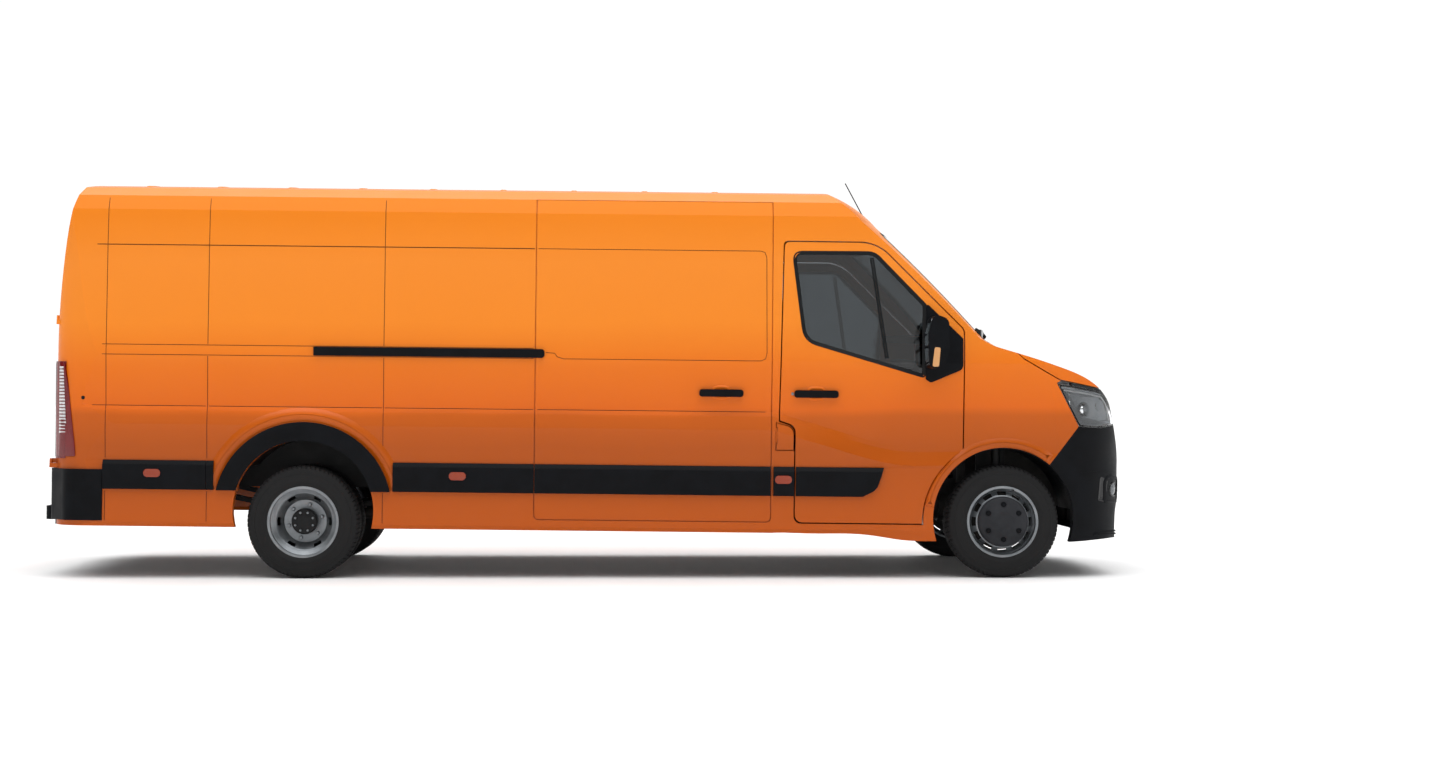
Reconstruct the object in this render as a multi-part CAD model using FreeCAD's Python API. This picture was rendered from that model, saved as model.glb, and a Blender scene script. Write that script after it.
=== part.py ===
import FreeCAD, Part
import math
import os

# A high-roof, extra-long panel van with twin rear wheels. Millimetres, +Z up, +X to the front.
# The origin is on the ground below the middle of its length, and the sliding door is on the right, at -Y.

# Overall places along the van
front_overhang = 842.0
wheelbase = 4332.0
rear_overhang = 1674.0
overall_length = front_overhang + wheelbase + rear_overhang
nose_x = overall_length / 2
front_axle_x = nose_x - front_overhang
rear_axle_x = front_axle_x - wheelbase
step_end_x = rear_axle_x - rear_overhang
body_rake_degrees = 0.62

# Wheels and tyres
tyre_radius = 349.0
tyre_width = 195.0
tyre_side_round = 30.0
tyre_bead_radius = 214.0
bead_seat_gap = 0.3
front_track_half = 875.0
rear_track_half = 806.0
twin_spacing = 230.0
rim_flange_radius = 221.0
rim_well_radius = 190.0
rim_wall = 8.0
rim_width = 172.0
rim_centre_bore = 70.0
stub_radius = 40.0
hub_sleeve_length = 80.0
hub_cap_radius = 154.0
hub_cap_depth = 34.0
hub_cap_round = 10.0
nut_circle_radius = 103.0
nut_cover_radius = 13.0
nut_cover_height = 9.0
front_nut_count = 6
disc_thickness = 9.0
vent_count = 12
vent_inner_radius = 160.0
vent_outer_radius = 188.0
vent_share = 0.55
dish_depth = 128.0
dish_flange_radius = 132.0
dish_step_radius = 176.0
hand_hole_circle = 156.0
hand_hole_radius = 15.0
hand_hole_count = 6
rear_hub_radius = 80.0
rear_hub_length = 62.0
rear_bolt_circle = 59.0
rear_bolt_radius = 8.0
rear_bolt_length = 12.0
rear_bolt_count = 8

# Heights of the side's long lines, before the body's rake
sill_low_z = 266.0
sill_fold_z = 291.0
door_low_z = 334.0
moulding_low_z = 494.0
moulding_bevel_z = 645.0
moulding_top_z = 676.0
bulge_z = 900.0
crease_low_z = 985.0
crease_high_z = 1015.0
rail_low_z = 1328.0
rail_high_z = 1390.0
groove_z = 2008.0
cant_z = 2228.0
roof_joint_z = 2316.0
roof_edge_z = 2372.0
crown_z = 2440.0

# Half widths at those heights
sill_low_y = 1000.0
sill_fold_y = 1012.0
moulding_low_y = 1008.0
moulding_top_y = 1006.0
bulge_y = 1020.0
crease_low_y = 1012.0
crease_high_y = 1000.0
rail_y = 1014.0
groove_y = 990.0
cant_y = 975.0
roof_joint_y = 940.0
roof_edge_y = 850.0

# Walls, panels and gaps
side_wall = 60.0
roof_wall = 45.0
skin = 40.0
panel_gap = 8.0
fixed_gap = 5.0
touch_gap = 0.3
overrun = 60.0

# Places along the side
tail_x = -3330.0
corner_seam_x = -2975.0
slide_rear_x = -325.0
slide_front_x = 1138.0
pillar_x = 1150.0
cab_door_rear_x = 1200.0
cab_door_front_x = 2324.0
cab_door_top_z = 2067.0
flap_front_x = 1290.0
flap_top_z = 964.0
flap_low_z = 775.0
flap_depth = 22.0

# The nose: profile at the middle plane, turned about an upright axis far behind it
plan_axis_x = -500.0
brow_start_x = 1380.0
brow_x = 1752.0
brow_z = 2325.0
screen_top_x = 1892.0
screen_top_z = 2201.0
screen_foot_x = 2590.0
screen_foot_z = 1480.0
screen_bulge = 9.0
bonnet_rear_x = 2667.0
bonnet_rear_z = 1438.0
bonnet_front_x = 3264.0
bonnet_front_z = 1211.0
nose_brow_x = 3364.0
nose_brow_z = 1062.0
nose_mid_x = 3396.0
nose_mid_z = 910.0
nose_low_z = 640.0
chin_x = 3408.0
chin_z = 262.0
screen_glass = 7.0

# Arches
front_arch_radius = 440.0
front_arch_rise = 19.0
rear_arch_radius = 435.0
rear_arch_rise = 22.0
arch_inner_y = 566.0
front_arch_inner_y = 560.0
wheel_box_wall = 8.0


def vec(x, y, z):
    return FreeCAD.Vector(x, y, z)


def on_plane(axis, u, v, depth):
    """A point of an outline: seen along the named axis, u is across and v is up."""
    if axis == "y":
        return vec(u, depth, v)
    if axis == "x":
        return vec(depth, u, v)
    return vec(u, v, depth)


def closed_wire(points):
    """A closed wire of straight edges through the points."""
    return Part.makePolygon(list(points) + [points[0]])


def rounded_wire(axis, outline, depth):
    """A closed wire whose corners are rounded by the third value of each point, if it has one."""
    count = len(outline)
    corners = []
    for index in range(count):
        before = outline[index - 1]
        here = outline[index]
        after = outline[(index + 1) % count]
        radius = here[2] if len(here) > 2 else 0.0
        here_point = vec(here[0], here[1], 0)
        back = vec(before[0], before[1], 0) - here_point
        ahead = vec(after[0], after[1], 0) - here_point
        half = back.getAngle(ahead) / 2
        if radius <= 0 or math.tan(half) <= 0:
            corners.append([here_point])
            continue
        reach = min(radius / math.tan(half), 0.48 * back.Length, 0.48 * ahead.Length)
        radius = reach * math.tan(half)
        back.normalize()
        ahead.normalize()
        middle = back + ahead
        if middle.Length < 1e-6:
            corners.append([here_point])
            continue
        middle.normalize()
        top = here_point + middle * (radius / math.sin(half) - radius)
        corners.append([here_point + back * reach, top, here_point + ahead * reach])
    edges = []
    for index, corner in enumerate(corners):
        spots = [on_plane(axis, spot.x, spot.y, depth) for spot in corner]
        following = corners[(index + 1) % count][0]
        target = on_plane(axis, following.x, following.y, depth)
        if len(spots) == 3:
            edges.append(Part.Arc(spots[0], spots[1], spots[2]).toShape())
        if spots[-1].distanceToPoint(target) > 1e-6:
            edges.append(Part.makeLine(spots[-1], target))
    return Part.Wire(edges)


def prism(axis, outline, start, stop):
    """An outline in the plane square to the axis, drawn out from start to stop."""
    face = Part.Face(rounded_wire(axis, outline, start))
    push = on_plane(axis, 0, 0, stop - start)
    return face.extrude(push)


def block(x0, x1, y0, y1, z0, z1):
    low = vec(min(x0, x1), min(y0, y1), min(z0, z1))
    return Part.makeBox(abs(x1 - x0), abs(y1 - y0), abs(z1 - z0), low)


def round_bar(axis, u, v, radius, start, stop):
    """A cylinder along the named axis, from start to stop."""
    foot = on_plane(axis, u, v, min(start, stop))
    direction = on_plane(axis, 0, 0, 1)
    return Part.makeCylinder(radius, abs(stop - start), foot, direction)


def bar_between(a, b, radius):
    return Part.makeCylinder(radius, (b - a).Length, a, b - a)


def turned(profile, x, z):
    """A profile of (radius, y) points turned about the axle line through (x, z)."""
    face = Part.Face(closed_wire([vec(x + radius, y, z) for radius, y in profile]))
    return face.revolve(vec(x, 0, z), vec(0, 1, 0), 360)


def mirrored(shape):
    return shape.mirror(vec(0, 0, 0), vec(0, 1, 0))


def both_sides(shape):
    return [shape, mirrored(shape)]


def fused(shapes):
    """One clean solid from pieces that overlap or share faces."""
    joined = shapes[0].multiFuse(shapes[1:]) if len(shapes) > 1 else shapes[0]
    return joined.removeSplitter()


def placed(shares, x0, x1, z0, z1):
    """Points given as shares of a length and a height, set between the given limits."""
    points = []
    for share in shares:
        spot = (x0 + share[0] * (x1 - x0), z0 + share[1] * (z1 - z0))
        points.append(spot + tuple(share[2:]))
    return points


def grown(axis, outline, distance, start, stop):
    """The prism of an outline moved outwards, or inwards where the distance is negative."""
    face = Part.Face(rounded_wire(axis, outline, start))
    wider = face.makeOffset2D(distance, 2) if distance > 0 else face.makeOffset2D(distance)
    return wider.extrude(on_plane(axis, 0, 0, stop - start))


def raked(shape):
    """The body's slight nose-down rake, about the front axle."""
    leaning = shape.copy()
    leaning.rotate(vec(front_axle_x, 0, tyre_radius), vec(0, 1, 0), body_rake_degrees)
    return leaning


saved = []


def save(name, shapes, rake=True):
    """Writes one node: its solids, raked with the body unless they stand level."""
    if not isinstance(shapes, (list, tuple)):
        shapes = [shapes]
    solids = []
    for shape in shapes:
        solids.extend(shape.Solids)
    if rake:
        solids = [raked(solid) for solid in solids]
    whole = solids[0] if len(solids) == 1 else Part.makeCompound(solids)
    for solid in solids:
        if not solid.isValid():
            print("not valid:", name)
    whole.exportStep("parts/" + name + ".step")
    box = whole.BoundBox
    volume = sum(solid.Volume for solid in solids)
    saved.append(name)
    print("%-24s %2d solids %8.3f l  x %.0f %.0f  y %.0f %.0f  z %.0f %.0f" % (
        name, len(solids), volume / 1e6, box.XMin, box.XMax, box.YMin, box.YMax, box.ZMin, box.ZMax))


os.makedirs("parts", exist_ok=True)
for name in os.listdir("parts"):
    if name.endswith(".step"):
        os.remove("parts/" + name)


# The side's section, from the sill up to the crown
def half_section(x, inset, top_inset):
    """Half of the body's section at x, as (half width, height) points, moved in by the insets."""
    nose_share = max(0.0, (x - pillar_x) / (front_axle_x - pillar_x))
    lean_in = greenhouse_lean * nose_share * nose_share
    waist_in = waist_taper * nose_share * nose_share
    fade = max(0.0, 1.0 - nose_share * crease_fade)
    drop = crease_drop * min(1.0, nose_share * crease_fade)
    step = (crease_low_y - crease_high_y) * fade
    dropped = sill_low_z - sill_drop * min(1.0, max(0.0, (x - sill_drop_x) / sill_drop_length))
    rows = [
        (sill_low_y, dropped),
        (sill_fold_y, sill_fold_z),
        (moulding_low_y, moulding_low_z),
        (moulding_top_y, moulding_top_z),
        (bulge_y - waist_in, bulge_z - drop),
        (crease_high_y + step - waist_in, crease_low_z - drop),
        (crease_high_y - waist_in, crease_high_z - drop),
        (rail_y - waist_in, rail_low_z),
        (groove_y - lean_in, groove_z),
        (cant_y - lean_in, cant_z),
        (roof_joint_y - lean_in, roof_joint_z),
        (roof_edge_y - lean_in, roof_edge_z),
    ]
    points = [(y - inset, z) for y, z in rows]
    last = len(points) - 1
    points[last] = (points[last][0], roof_edge_z - top_inset)
    points[last - 1] = (points[last - 1][0], roof_joint_z - top_inset / 2)
    if inset:
        points[0] = (points[0][0], sill_low_z - overrun)
    return points


greenhouse_lean = 66.0
waist_taper = 18.0
crease_fade = 2.0
crease_drop = 205.0
sill_drop = 38.0
sill_drop_x = 1690.0
sill_drop_length = 280.0


def section_wire(x, inset, top_inset):
    """The whole section as a closed wire: both sides and the bowed roof."""
    half = half_section(x, inset, top_inset)
    right = [vec(x, -y, z) for y, z in half]
    left = [vec(x, y, z) for y, z in half]
    edges = []
    for a, b in zip(right, right[1:]):
        edges.append(Part.makeLine(a, b))
    crown = vec(x, 0, crown_z - top_inset)
    edges.append(Part.Arc(right[-1], crown, left[-1]).toShape())
    back = list(reversed(left))
    for a, b in zip(back, back[1:]):
        edges.append(Part.makeLine(a, b))
    edges.append(Part.makeLine(left[0], right[0]))
    return Part.Wire(edges)


def straight_body(x0, x1, inset, top_inset):
    """The load space's form: one section drawn out along the van."""
    face = Part.Face(section_wire(x0, inset, top_inset))
    return face.extrude(vec(x1 - x0, 0, 0))


cab_station_shares = [0.0, 0.12, 0.25, 0.4, 0.55, 0.75, 1.0, 1.3, 1.65]


def cab_form(inset, top_inset):
    """The cab's form: sections that change slowly towards the nose."""
    wires = []
    for share in cab_station_shares:
        station = pillar_x + share * (front_axle_x - pillar_x)
        wires.append(section_wire(station, inset, top_inset))
    return Part.makeLoft(wires, True, False)


def spline_edge(points):
    curve = Part.BSplineCurve()
    curve.interpolate(points)
    return curve.toShape()


def nose_turn(back, down):
    """The nose's profile turned about the far upright axis, moved back and down for the inner face."""
    def spot(x, z):
        return vec(x - back, 0, z - down)
    top = crown_z + overrun
    floor_z = -overrun
    roof = spline_edge([spot(brow_start_x, crown_z + touch_gap), spot(1630.0, 2390.0), spot(brow_x, brow_z),
                        spot(screen_top_x, screen_top_z)])
    middle = spot((screen_top_x + screen_foot_x) / 2 + screen_bulge, (screen_top_z + screen_foot_z) / 2 + screen_bulge)
    glass = Part.Arc(spot(screen_top_x, screen_top_z), middle, spot(screen_foot_x, screen_foot_z)).toShape()
    cowl = Part.makeLine(spot(screen_foot_x, screen_foot_z), spot(bonnet_rear_x, bonnet_rear_z))
    bonnet = spline_edge([spot(bonnet_rear_x, bonnet_rear_z), spot(2868.0, 1377.0), spot(3066.0, 1310.0),
                          spot(bonnet_front_x, bonnet_front_z), spot(3324.0, 1148.0),
                          spot(nose_brow_x, nose_brow_z)])
    face = spline_edge([spot(nose_brow_x, nose_brow_z), spot(nose_mid_x, nose_mid_z), spot(nose_x, nose_low_z),
                        spot(chin_x, 420.0), spot(chin_x, chin_z - overrun)])
    foot = vec(chin_x - back, 0, chin_z - overrun - down)
    axis_foot = vec(plan_axis_x, 0, foot.z)
    axis_top = vec(plan_axis_x, 0, top)
    start = spot(brow_start_x, crown_z + touch_gap)
    lift = vec(start.x, 0, top)
    edges = [Part.makeLine(axis_foot, axis_top), Part.makeLine(axis_top, lift), Part.makeLine(lift, start),
             roof, glass, cowl, bonnet, face, Part.makeLine(foot, axis_foot)]
    wire = Part.Wire(Part.__sortEdges__(edges))
    disc = Part.Face(wire)
    disc.rotate(vec(plan_axis_x, 0, 0), vec(0, 0, 1), -60)
    return disc.revolve(vec(plan_axis_x, 0, 0), vec(0, 0, 1), 120)


corner_shares = [(0.0, 1.0), (0.35, 0.985), (0.58, 0.945), (0.74, 0.885), (0.88, 0.765), (0.955, 0.60)]


def corner_prism(inset):
    """The nose seen from above: its rounded corners."""
    points = []
    x0 = front_axle_x - 250.0
    reach = nose_x - x0
    for along, across in corner_shares:
        points.append((x0 + along * reach, across * bulge_y - inset))
    half = [vec(x - (inset if y < 900.0 else 0.0), -y, -overrun) for x, y in points]
    curve = spline_edge(half)
    other = spline_edge([vec(p.x, -p.y, p.z) for p in half])
    tip = half[-1]
    front = vec(nose_x + overrun, tip.y / 2, tip.z)
    front_other = vec(front.x, -front.y, front.z)
    tail = vec(pillar_x - overrun, half[0].y, half[0].z)
    tail_other = vec(tail.x, -tail.y, tail.z)
    other_tip = vec(tip.x, -tip.y, tip.z)
    other_start = vec(half[0].x, -half[0].y, half[0].z)
    edges = [Part.makeLine(tail, half[0]), curve, Part.makeLine(tip, front), Part.makeLine(front, front_other),
             Part.makeLine(front_other, other_tip), other, Part.makeLine(other_start, tail_other),
             Part.makeLine(tail_other, tail)]
    wire = Part.Wire(Part.__sortEdges__(edges))
    return Part.Face(wire).extrude(vec(0, 0, crown_z + 2 * overrun))


outer_turn = nose_turn(0.0, 0.0)
outer_cab = cab_form(0.0, 0.0).common(outer_turn).common(corner_prism(0.0))
inner_turn = nose_turn(skin, skin)
inner_cab = cab_form(side_wall, roof_wall).common(inner_turn).common(corner_prism(side_wall))
cab_shell = outer_cab.cut(inner_cab)

# Outlines seen from the side, as places along the van and heights
door_corner_x = 1781.0
door_corner_z = cab_door_top_z
door_corner_round = 260.0
door_brow_x = 2326.0
door_brow_z = 1534.0
door_arc_radius = 508.0
door_step_x = 1288.0
door_step_z = 930.0
door_step_round = 60.0
door_step_low_round = 45.0


def door_prism(gap, y0, y1):
    """The cab door's outline, grown by the gap, with its round cut beside the front wheel."""
    outline = [
        (cab_door_rear_x - gap + 12.0, door_corner_z + gap, 30.0),
        (door_corner_x + gap * 0.4, door_corner_z + gap, door_corner_round),
        (cab_door_front_x + gap, door_brow_z + gap * 0.4, 60.0),
        (cab_door_front_x + gap, door_low_z - gap),
        (door_step_x - gap, door_low_z - gap, door_step_low_round),
        (door_step_x - gap, door_step_z - gap, door_step_round),
        (cab_door_rear_x - 9.0 - gap, door_step_z + 32.0 - gap, 6.0),
    ]
    wheel_cut = round_bar("y", front_axle_x, tyre_radius, door_arc_radius - gap, y0 - overrun, y1 + overrun)
    return prism("y", outline, y0, y1).cut(wheel_cut)


window_outline = [
    (1262.0, 2007.0, 60.0),
    (1769.0, 2007.0, 110.0),
    (2084.0, 1690.0, 25.0),
    (2084.0, 1236.0, 25.0),
    (1338.0, 1455.0, 130.0),
]
cowl_x = 2640.0
bonnet_line = [(2661.0, 1390.0), (2699.0, 1355.0), (2838.0, 1275.0), (2930.0, 1226.0)]
lamp_outline = [(2905.0, 1212.0, 20.0), (3262.0, 1157.0, 40.0), (3322.0, 1020.0, 60.0), (3335.0, 955.0, 10.0),
                (3205.0, 934.0, 80.0), (3052.0, 944.0, 30.0)]
side_in = 700.0
side_out = 1100.0
front_arch_z = tyre_radius + front_arch_rise
rear_arch_z = tyre_radius + rear_arch_rise
low_z = 100.0
high_z = crown_z + 2 * overrun


def arch_cuts():
    cuts = []
    for side in (-1, 1):
        cuts.append(round_bar("y", front_axle_x, front_arch_z, front_arch_radius, side * front_arch_inner_y,
                              side * (side_out + overrun)))
    return cuts


# Cab doors
seal_width = 22.0
door_shell_thickness = side_wall


def cab_door(side):
    y0, y1 = sorted((side * side_in, side * side_out))
    door = cab_shell.common(door_prism(0.0, y0, y1))
    hole = prism("y", window_outline, y0 - overrun, y1 + overrun)
    return door.cut(hole)


glass_thickness = 5.0
glass_setback = 8.0


def cab_glass(side):
    """The door's pane: the outer form's surface, set in a little and as thin as glass."""
    y0, y1 = sorted((side * side_in, side * side_out))
    pane = outer_cab.copy()
    pane.translate(vec(0, -side * glass_setback, 0))
    inner = outer_cab.copy()
    inner.translate(vec(0, -side * (glass_setback + glass_thickness), 0))
    pane = pane.common(grown("y", window_outline, -touch_gap, y0, y1))
    return pane.cut(inner)


right_door = cab_door(-1)
left_door = mirrored(right_door)
save("cab_door_right", right_door)
save("cab_door_left", left_door)
right_glass = cab_glass(-1)
save("cab_glass_right", right_glass)
save("cab_glass_left", mirrored(right_glass))

# Windscreen opening, seen from the front
screen_outline = [(-890.0, 1490.0, 90.0), (890.0, 1490.0, 90.0), (790.0, 2150.0, 90.0), (-790.0, 2150.0, 90.0)]
screen_seat = 12.0
screen_hole = prism("x", screen_outline, 1600.0, 2800.0)
glass_body = nose_turn(0.0, 0.0).cut(nose_turn(screen_glass, screen_glass))
windscreen = glass_body.common(grown("x", screen_outline, -touch_gap, 1700.0, 2800.0)).common(outer_cab)
windscreen = max(windscreen.Solids, key=lambda solid: solid.Volume)
save("windscreen", windscreen)

# Regions of the front, seen from the side
frame_region = prism("y", [(pillar_x, low_z), (2060.0, low_z), (2060.0, 340.0), (2200.0, 1000.0), (2318.0, 1480.0),
                           (cowl_x, 1402.0), (cowl_x, high_z), (pillar_x, high_z)],
                     -side_out, side_out)
wing_region = prism("y", [(2060.0, low_z), (2060.0, 340.0), (2200.0, 1000.0), (2318.0, 1480.0), (2640.0, 1402.0)]
                    + bonnet_line + [(2905.0, 1212.0), (3052.0, 944.0), (2877.0, 722.0), (2700.0, 500.0),
                                     (2400.0, low_z)], -side_out, side_out)
bonnet_low = [(x, z + panel_gap) for x, z in bonnet_line + [(3262.0, 1165.0), (3500.0, 1140.0)]]
cowl_gap = 14.0
bonnet_region = prism("y", [(cowl_x + cowl_gap, 1600.0), (cowl_x + cowl_gap, 1402.0 + panel_gap)] + bonnet_low
                      + [(3500.0, 1600.0)], -side_out, side_out)
bumper_region = prism("y", [(3052.0, 944.0), (3335.0, 955.0), (3500.0, 955.0), (3500.0, low_z), (2700.0, low_z),
                            (2700.0, 500.0), (2877.0, 722.0)], -side_out, side_out)
grille_region = prism("y", [(3000.0, 944.0), (3500.0, 955.0), (3500.0, 1140.0), (3262.0, 1165.0), (3000.0, 1215.0)],
                      -side_out, side_out)
arch_tools = arch_cuts()
doors_grown = [door_prism(panel_gap, -side_out, -side_in), door_prism(panel_gap, side_in, side_out)]

# Cab frame with its firewall and flap recess
firewall_x = 2340.0
firewall_thickness = 20.0
cab_floor_z = 600.0
cab_floor_thickness = 30.0
firewall_top_z = 1450.0
frame = cab_shell.common(frame_region).cut(doors_grown[0]).cut(doors_grown[1]).cut(screen_hole)
frame = frame.cut(arch_tools[0]).cut(arch_tools[1])
flap_rear_x = pillar_x + 14.0
flap_outline = [(flap_rear_x, flap_low_z, 4.0), (door_step_x - panel_gap, flap_low_z, 4.0),
                (door_step_x - panel_gap, door_step_z - panel_gap, door_step_round),
                (flap_rear_x, door_step_z + 30.0 - panel_gap, 4.0)]
flap_hinge_gap = 6.0
flap_prism = grown("y", flap_outline, -flap_hinge_gap, -side_out, -side_in)
fuel_flap = outer_cab.common(flap_prism)
flap_back = outer_cab.copy()
flap_back.translate(vec(0, flap_depth, 0))
fuel_flap = fuel_flap.cut(flap_back)
hinge_pin_x = flap_rear_x + flap_hinge_gap
hinge_pin_y = -(bulge_y - 1.0)
hinge_barrel_radius = 4.0
hinge_mid_z = (flap_low_z + flap_top_z) / 2
hinge_half = 25.0
hinge_reach = 10.0
running_gap = 0.3
hinge_notch = block(flap_rear_x, hinge_pin_x + hinge_barrel_radius + 2.0, -side_out, -side_in,
                    hinge_mid_z - 2 * hinge_half, hinge_mid_z + 2 * hinge_half)
flap_barrel = round_bar("z", hinge_pin_x, hinge_pin_y, hinge_barrel_radius, hinge_mid_z - hinge_half + running_gap,
                        hinge_mid_z + hinge_half - running_gap)
flap_leaf = block(hinge_pin_x, hinge_pin_x + hinge_reach, hinge_pin_y, hinge_pin_y + 12.0,
                  hinge_mid_z - hinge_half + running_gap, hinge_mid_z + hinge_half - running_gap)
fuel_flap = fused([fuel_flap.cut(hinge_notch), flap_barrel, flap_leaf])
save("fuel_flap", fuel_flap)
flap_hole = prism("y", flap_outline, -side_out, -side_in)
hole_back = outer_cab.copy()
hole_back.translate(vec(0, flap_depth * 2, 0))
frame = frame.cut(flap_hole.common(outer_cab).cut(hole_back))
hinge_posts = []
for end in (-1, 1):
    z0, z1 = sorted((hinge_mid_z + end * hinge_half, hinge_mid_z + end * 1.8 * hinge_half))
    hinge_posts.append(round_bar("z", hinge_pin_x, hinge_pin_y, hinge_barrel_radius, z0, z1))
    hinge_posts.append(block(flap_rear_x - hinge_reach, hinge_pin_x, hinge_pin_y, hinge_pin_y + 12.0, z0, z1))
frame = fused([frame] + hinge_posts)

wings = cab_shell.common(wing_region).cut(doors_grown[0]).cut(doors_grown[1]).cut(arch_tools[0]).cut(arch_tools[1])
save("front_wings", wings)
bonnet = cab_shell.common(bonnet_region)
bonnet_pin_x = 2662.0
bonnet_pin_z = 1434.0
bonnet_pin_y = 250.0
bonnet_barrel_radius = 6.0
bonnet_barrel_half = 20.0
bonnet_post_length = 24.0
bonnet_leaf = 26.0
bonnet_hinges = []
cowl_posts = []
notches = []
for side in (-1, 1):
    middle = side * bonnet_pin_y
    reach = bonnet_barrel_half + bonnet_post_length
    notches.append(block(cowl_x, bonnet_pin_x + bonnet_barrel_radius + 5.0, middle - reach - 6.0, middle + reach + 6.0,
                         bonnet_pin_z - 2 * bonnet_leaf, bonnet_pin_z + bonnet_leaf))
    y0 = middle - bonnet_barrel_half + running_gap
    y1 = middle + bonnet_barrel_half - running_gap
    bonnet_hinges.append(round_bar("y", bonnet_pin_x, bonnet_pin_z, bonnet_barrel_radius, y0, y1))
    bonnet_hinges.append(block(bonnet_pin_x, bonnet_pin_x + bonnet_leaf, y0, y1, bonnet_pin_z - bonnet_barrel_radius,
                               bonnet_pin_z))
    for end in (-1, 1):
        a = middle + end * bonnet_barrel_half
        b = middle + end * reach
        cowl_posts.append(round_bar("y", bonnet_pin_x, bonnet_pin_z, bonnet_barrel_radius, a, b))
        cowl_posts.append(block(cowl_x - bonnet_leaf, bonnet_pin_x, min(a, b), max(a, b),
                                bonnet_pin_z - bonnet_barrel_radius, bonnet_pin_z))
for notch in notches:
    bonnet = bonnet.cut(notch)
save("bonnet", fused([bonnet] + bonnet_hinges))
save("cab_frame", fused([frame] + cowl_posts))
lamp_y0 = 520.0
lamp_tools = [prism("y", lamp_outline, -side_out, -lamp_y0), prism("y", lamp_outline, lamp_y0, side_out)]
lamps = [cab_shell.common(tool) for tool in lamp_tools]
save("headlamps", lamps)
bumper = cab_shell.common(bumper_region).cut(arch_tools[0]).cut(arch_tools[1])
bumper = bumper.cut(lamp_tools[0]).cut(lamp_tools[1])
save("front_bumper", bumper)
grille = cab_shell.common(grille_region).cut(lamp_tools[0]).cut(lamp_tools[1]).cut(bumper)
save("grille", max(grille.Solids, key=lambda solid: solid.Volume))

# The load space: its rear face seen from the side, and its rear corners from above
rear_face_points = [(-3120.0, 2420.0), (-3160.0, 2340.0), (-3203.0, 2204.0), (-3256.0, 1903.0), (-3290.0, 1603.0),
                    (-3310.0, 1300.0), (-3319.0, 900.0), (-3320.0, 200.0)]
rear_corner_points = [(-2900.0, 1022.0), (-3050.0, 1012.0), (-3180.0, 985.0), (-3270.0, 930.0), (-3312.0, 850.0)]
rear_corner_end_x = -3400.0
roof_rear_round_x = -3060.0


def rear_prism(inset):
    """The rear face's curve drawn across the van, with everything ahead of it."""
    face_curve = spline_edge([vec(x + inset, -side_out, z) for x, z in rear_face_points])
    top = vec(rear_face_points[0][0] + inset, -side_out, rear_face_points[0][1])
    low = vec(rear_face_points[-1][0] + inset, -side_out, rear_face_points[-1][1])
    roof_start = vec(roof_rear_round_x + inset, -side_out, crown_z + touch_gap)
    roof_front = vec(pillar_x + overrun, -side_out, crown_z + touch_gap)
    front_low = vec(pillar_x + overrun, -side_out, low_z)
    back_low = vec(low.x, -side_out, low_z)
    edges = [face_curve, Part.makeLine(top, roof_start), Part.makeLine(roof_start, roof_front),
             Part.makeLine(roof_front, front_low), Part.makeLine(front_low, back_low), Part.makeLine(back_low, low)]
    face = Part.Face(Part.Wire(Part.__sortEdges__(edges)))
    return face.extrude(vec(0, 2 * side_out, 0))


def rear_corner_prism(inset):
    """The rear corners seen from above, with everything ahead of them."""
    right = [vec(x + inset * 0.3, -(y - inset), low_z) for x, y in rear_corner_points]
    left = [vec(p.x, -p.y, p.z) for p in right]
    end = vec(rear_corner_end_x, right[-1].y, low_z)
    end_left = vec(end.x, -end.y, low_z)
    front = vec(pillar_x + overrun, right[0].y, low_z)
    front_left = vec(front.x, -front.y, low_z)
    edges = [Part.makeLine(front, right[0]), spline_edge(right), Part.makeLine(right[-1], end),
             Part.makeLine(end, end_left), Part.makeLine(end_left, left[-1]), spline_edge(left),
             Part.makeLine(left[0], front_left), Part.makeLine(front_left, front)]
    face = Part.Face(Part.Wire(Part.__sortEdges__(edges)))
    return face.extrude(vec(0, 0, high_z - low_z))


outer_load = straight_body(rear_corner_end_x, pillar_x, 0.0, 0.0).common(rear_prism(0.0))
outer_load = outer_load.common(rear_corner_prism(0.0))
inner_load = straight_body(rear_corner_end_x, pillar_x + overrun, side_wall, roof_wall)
inner_load = inner_load.common(rear_prism(side_wall)).common(rear_corner_prism(side_wall))
load_shell = outer_load.cut(inner_load)

# Rear doors
rear_door_half = 865.0
rear_door_low_z = 632.0
rear_door_top_z = 2285.0
rear_door_round = 70.0
rear_middle_gap = 12.0
rear_region_x = -3080.0


def rear_door_prism(side, gap):
    y0 = side * (rear_middle_gap / 2 - gap)
    y1 = side * (rear_door_half + gap)
    outline = [(y0, rear_door_low_z - gap, 10.0), (y1, rear_door_low_z - gap, 10.0),
               (y1, rear_door_top_z + gap, rear_door_round), (y0, rear_door_top_z + gap, 10.0)]
    if side < 0:
        outline = list(reversed(outline))
    return prism("x", outline, rear_corner_end_x, rear_region_x)


rear_hinge_x = -3345.0
rear_hinge_low_z = 648.0
rear_hinge_high_z = 1541.0
rear_hinge_half = 28.0
rear_barrel_radius = 11.0
rear_leaf_width = 44.0
rear_lean = (60.0 / 1500.0)


def rear_hinge_axis_x(z):
    """The leaning hinge line's place along the van at a height."""
    return rear_hinge_x + (z - rear_hinge_low_z) * rear_lean


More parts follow.
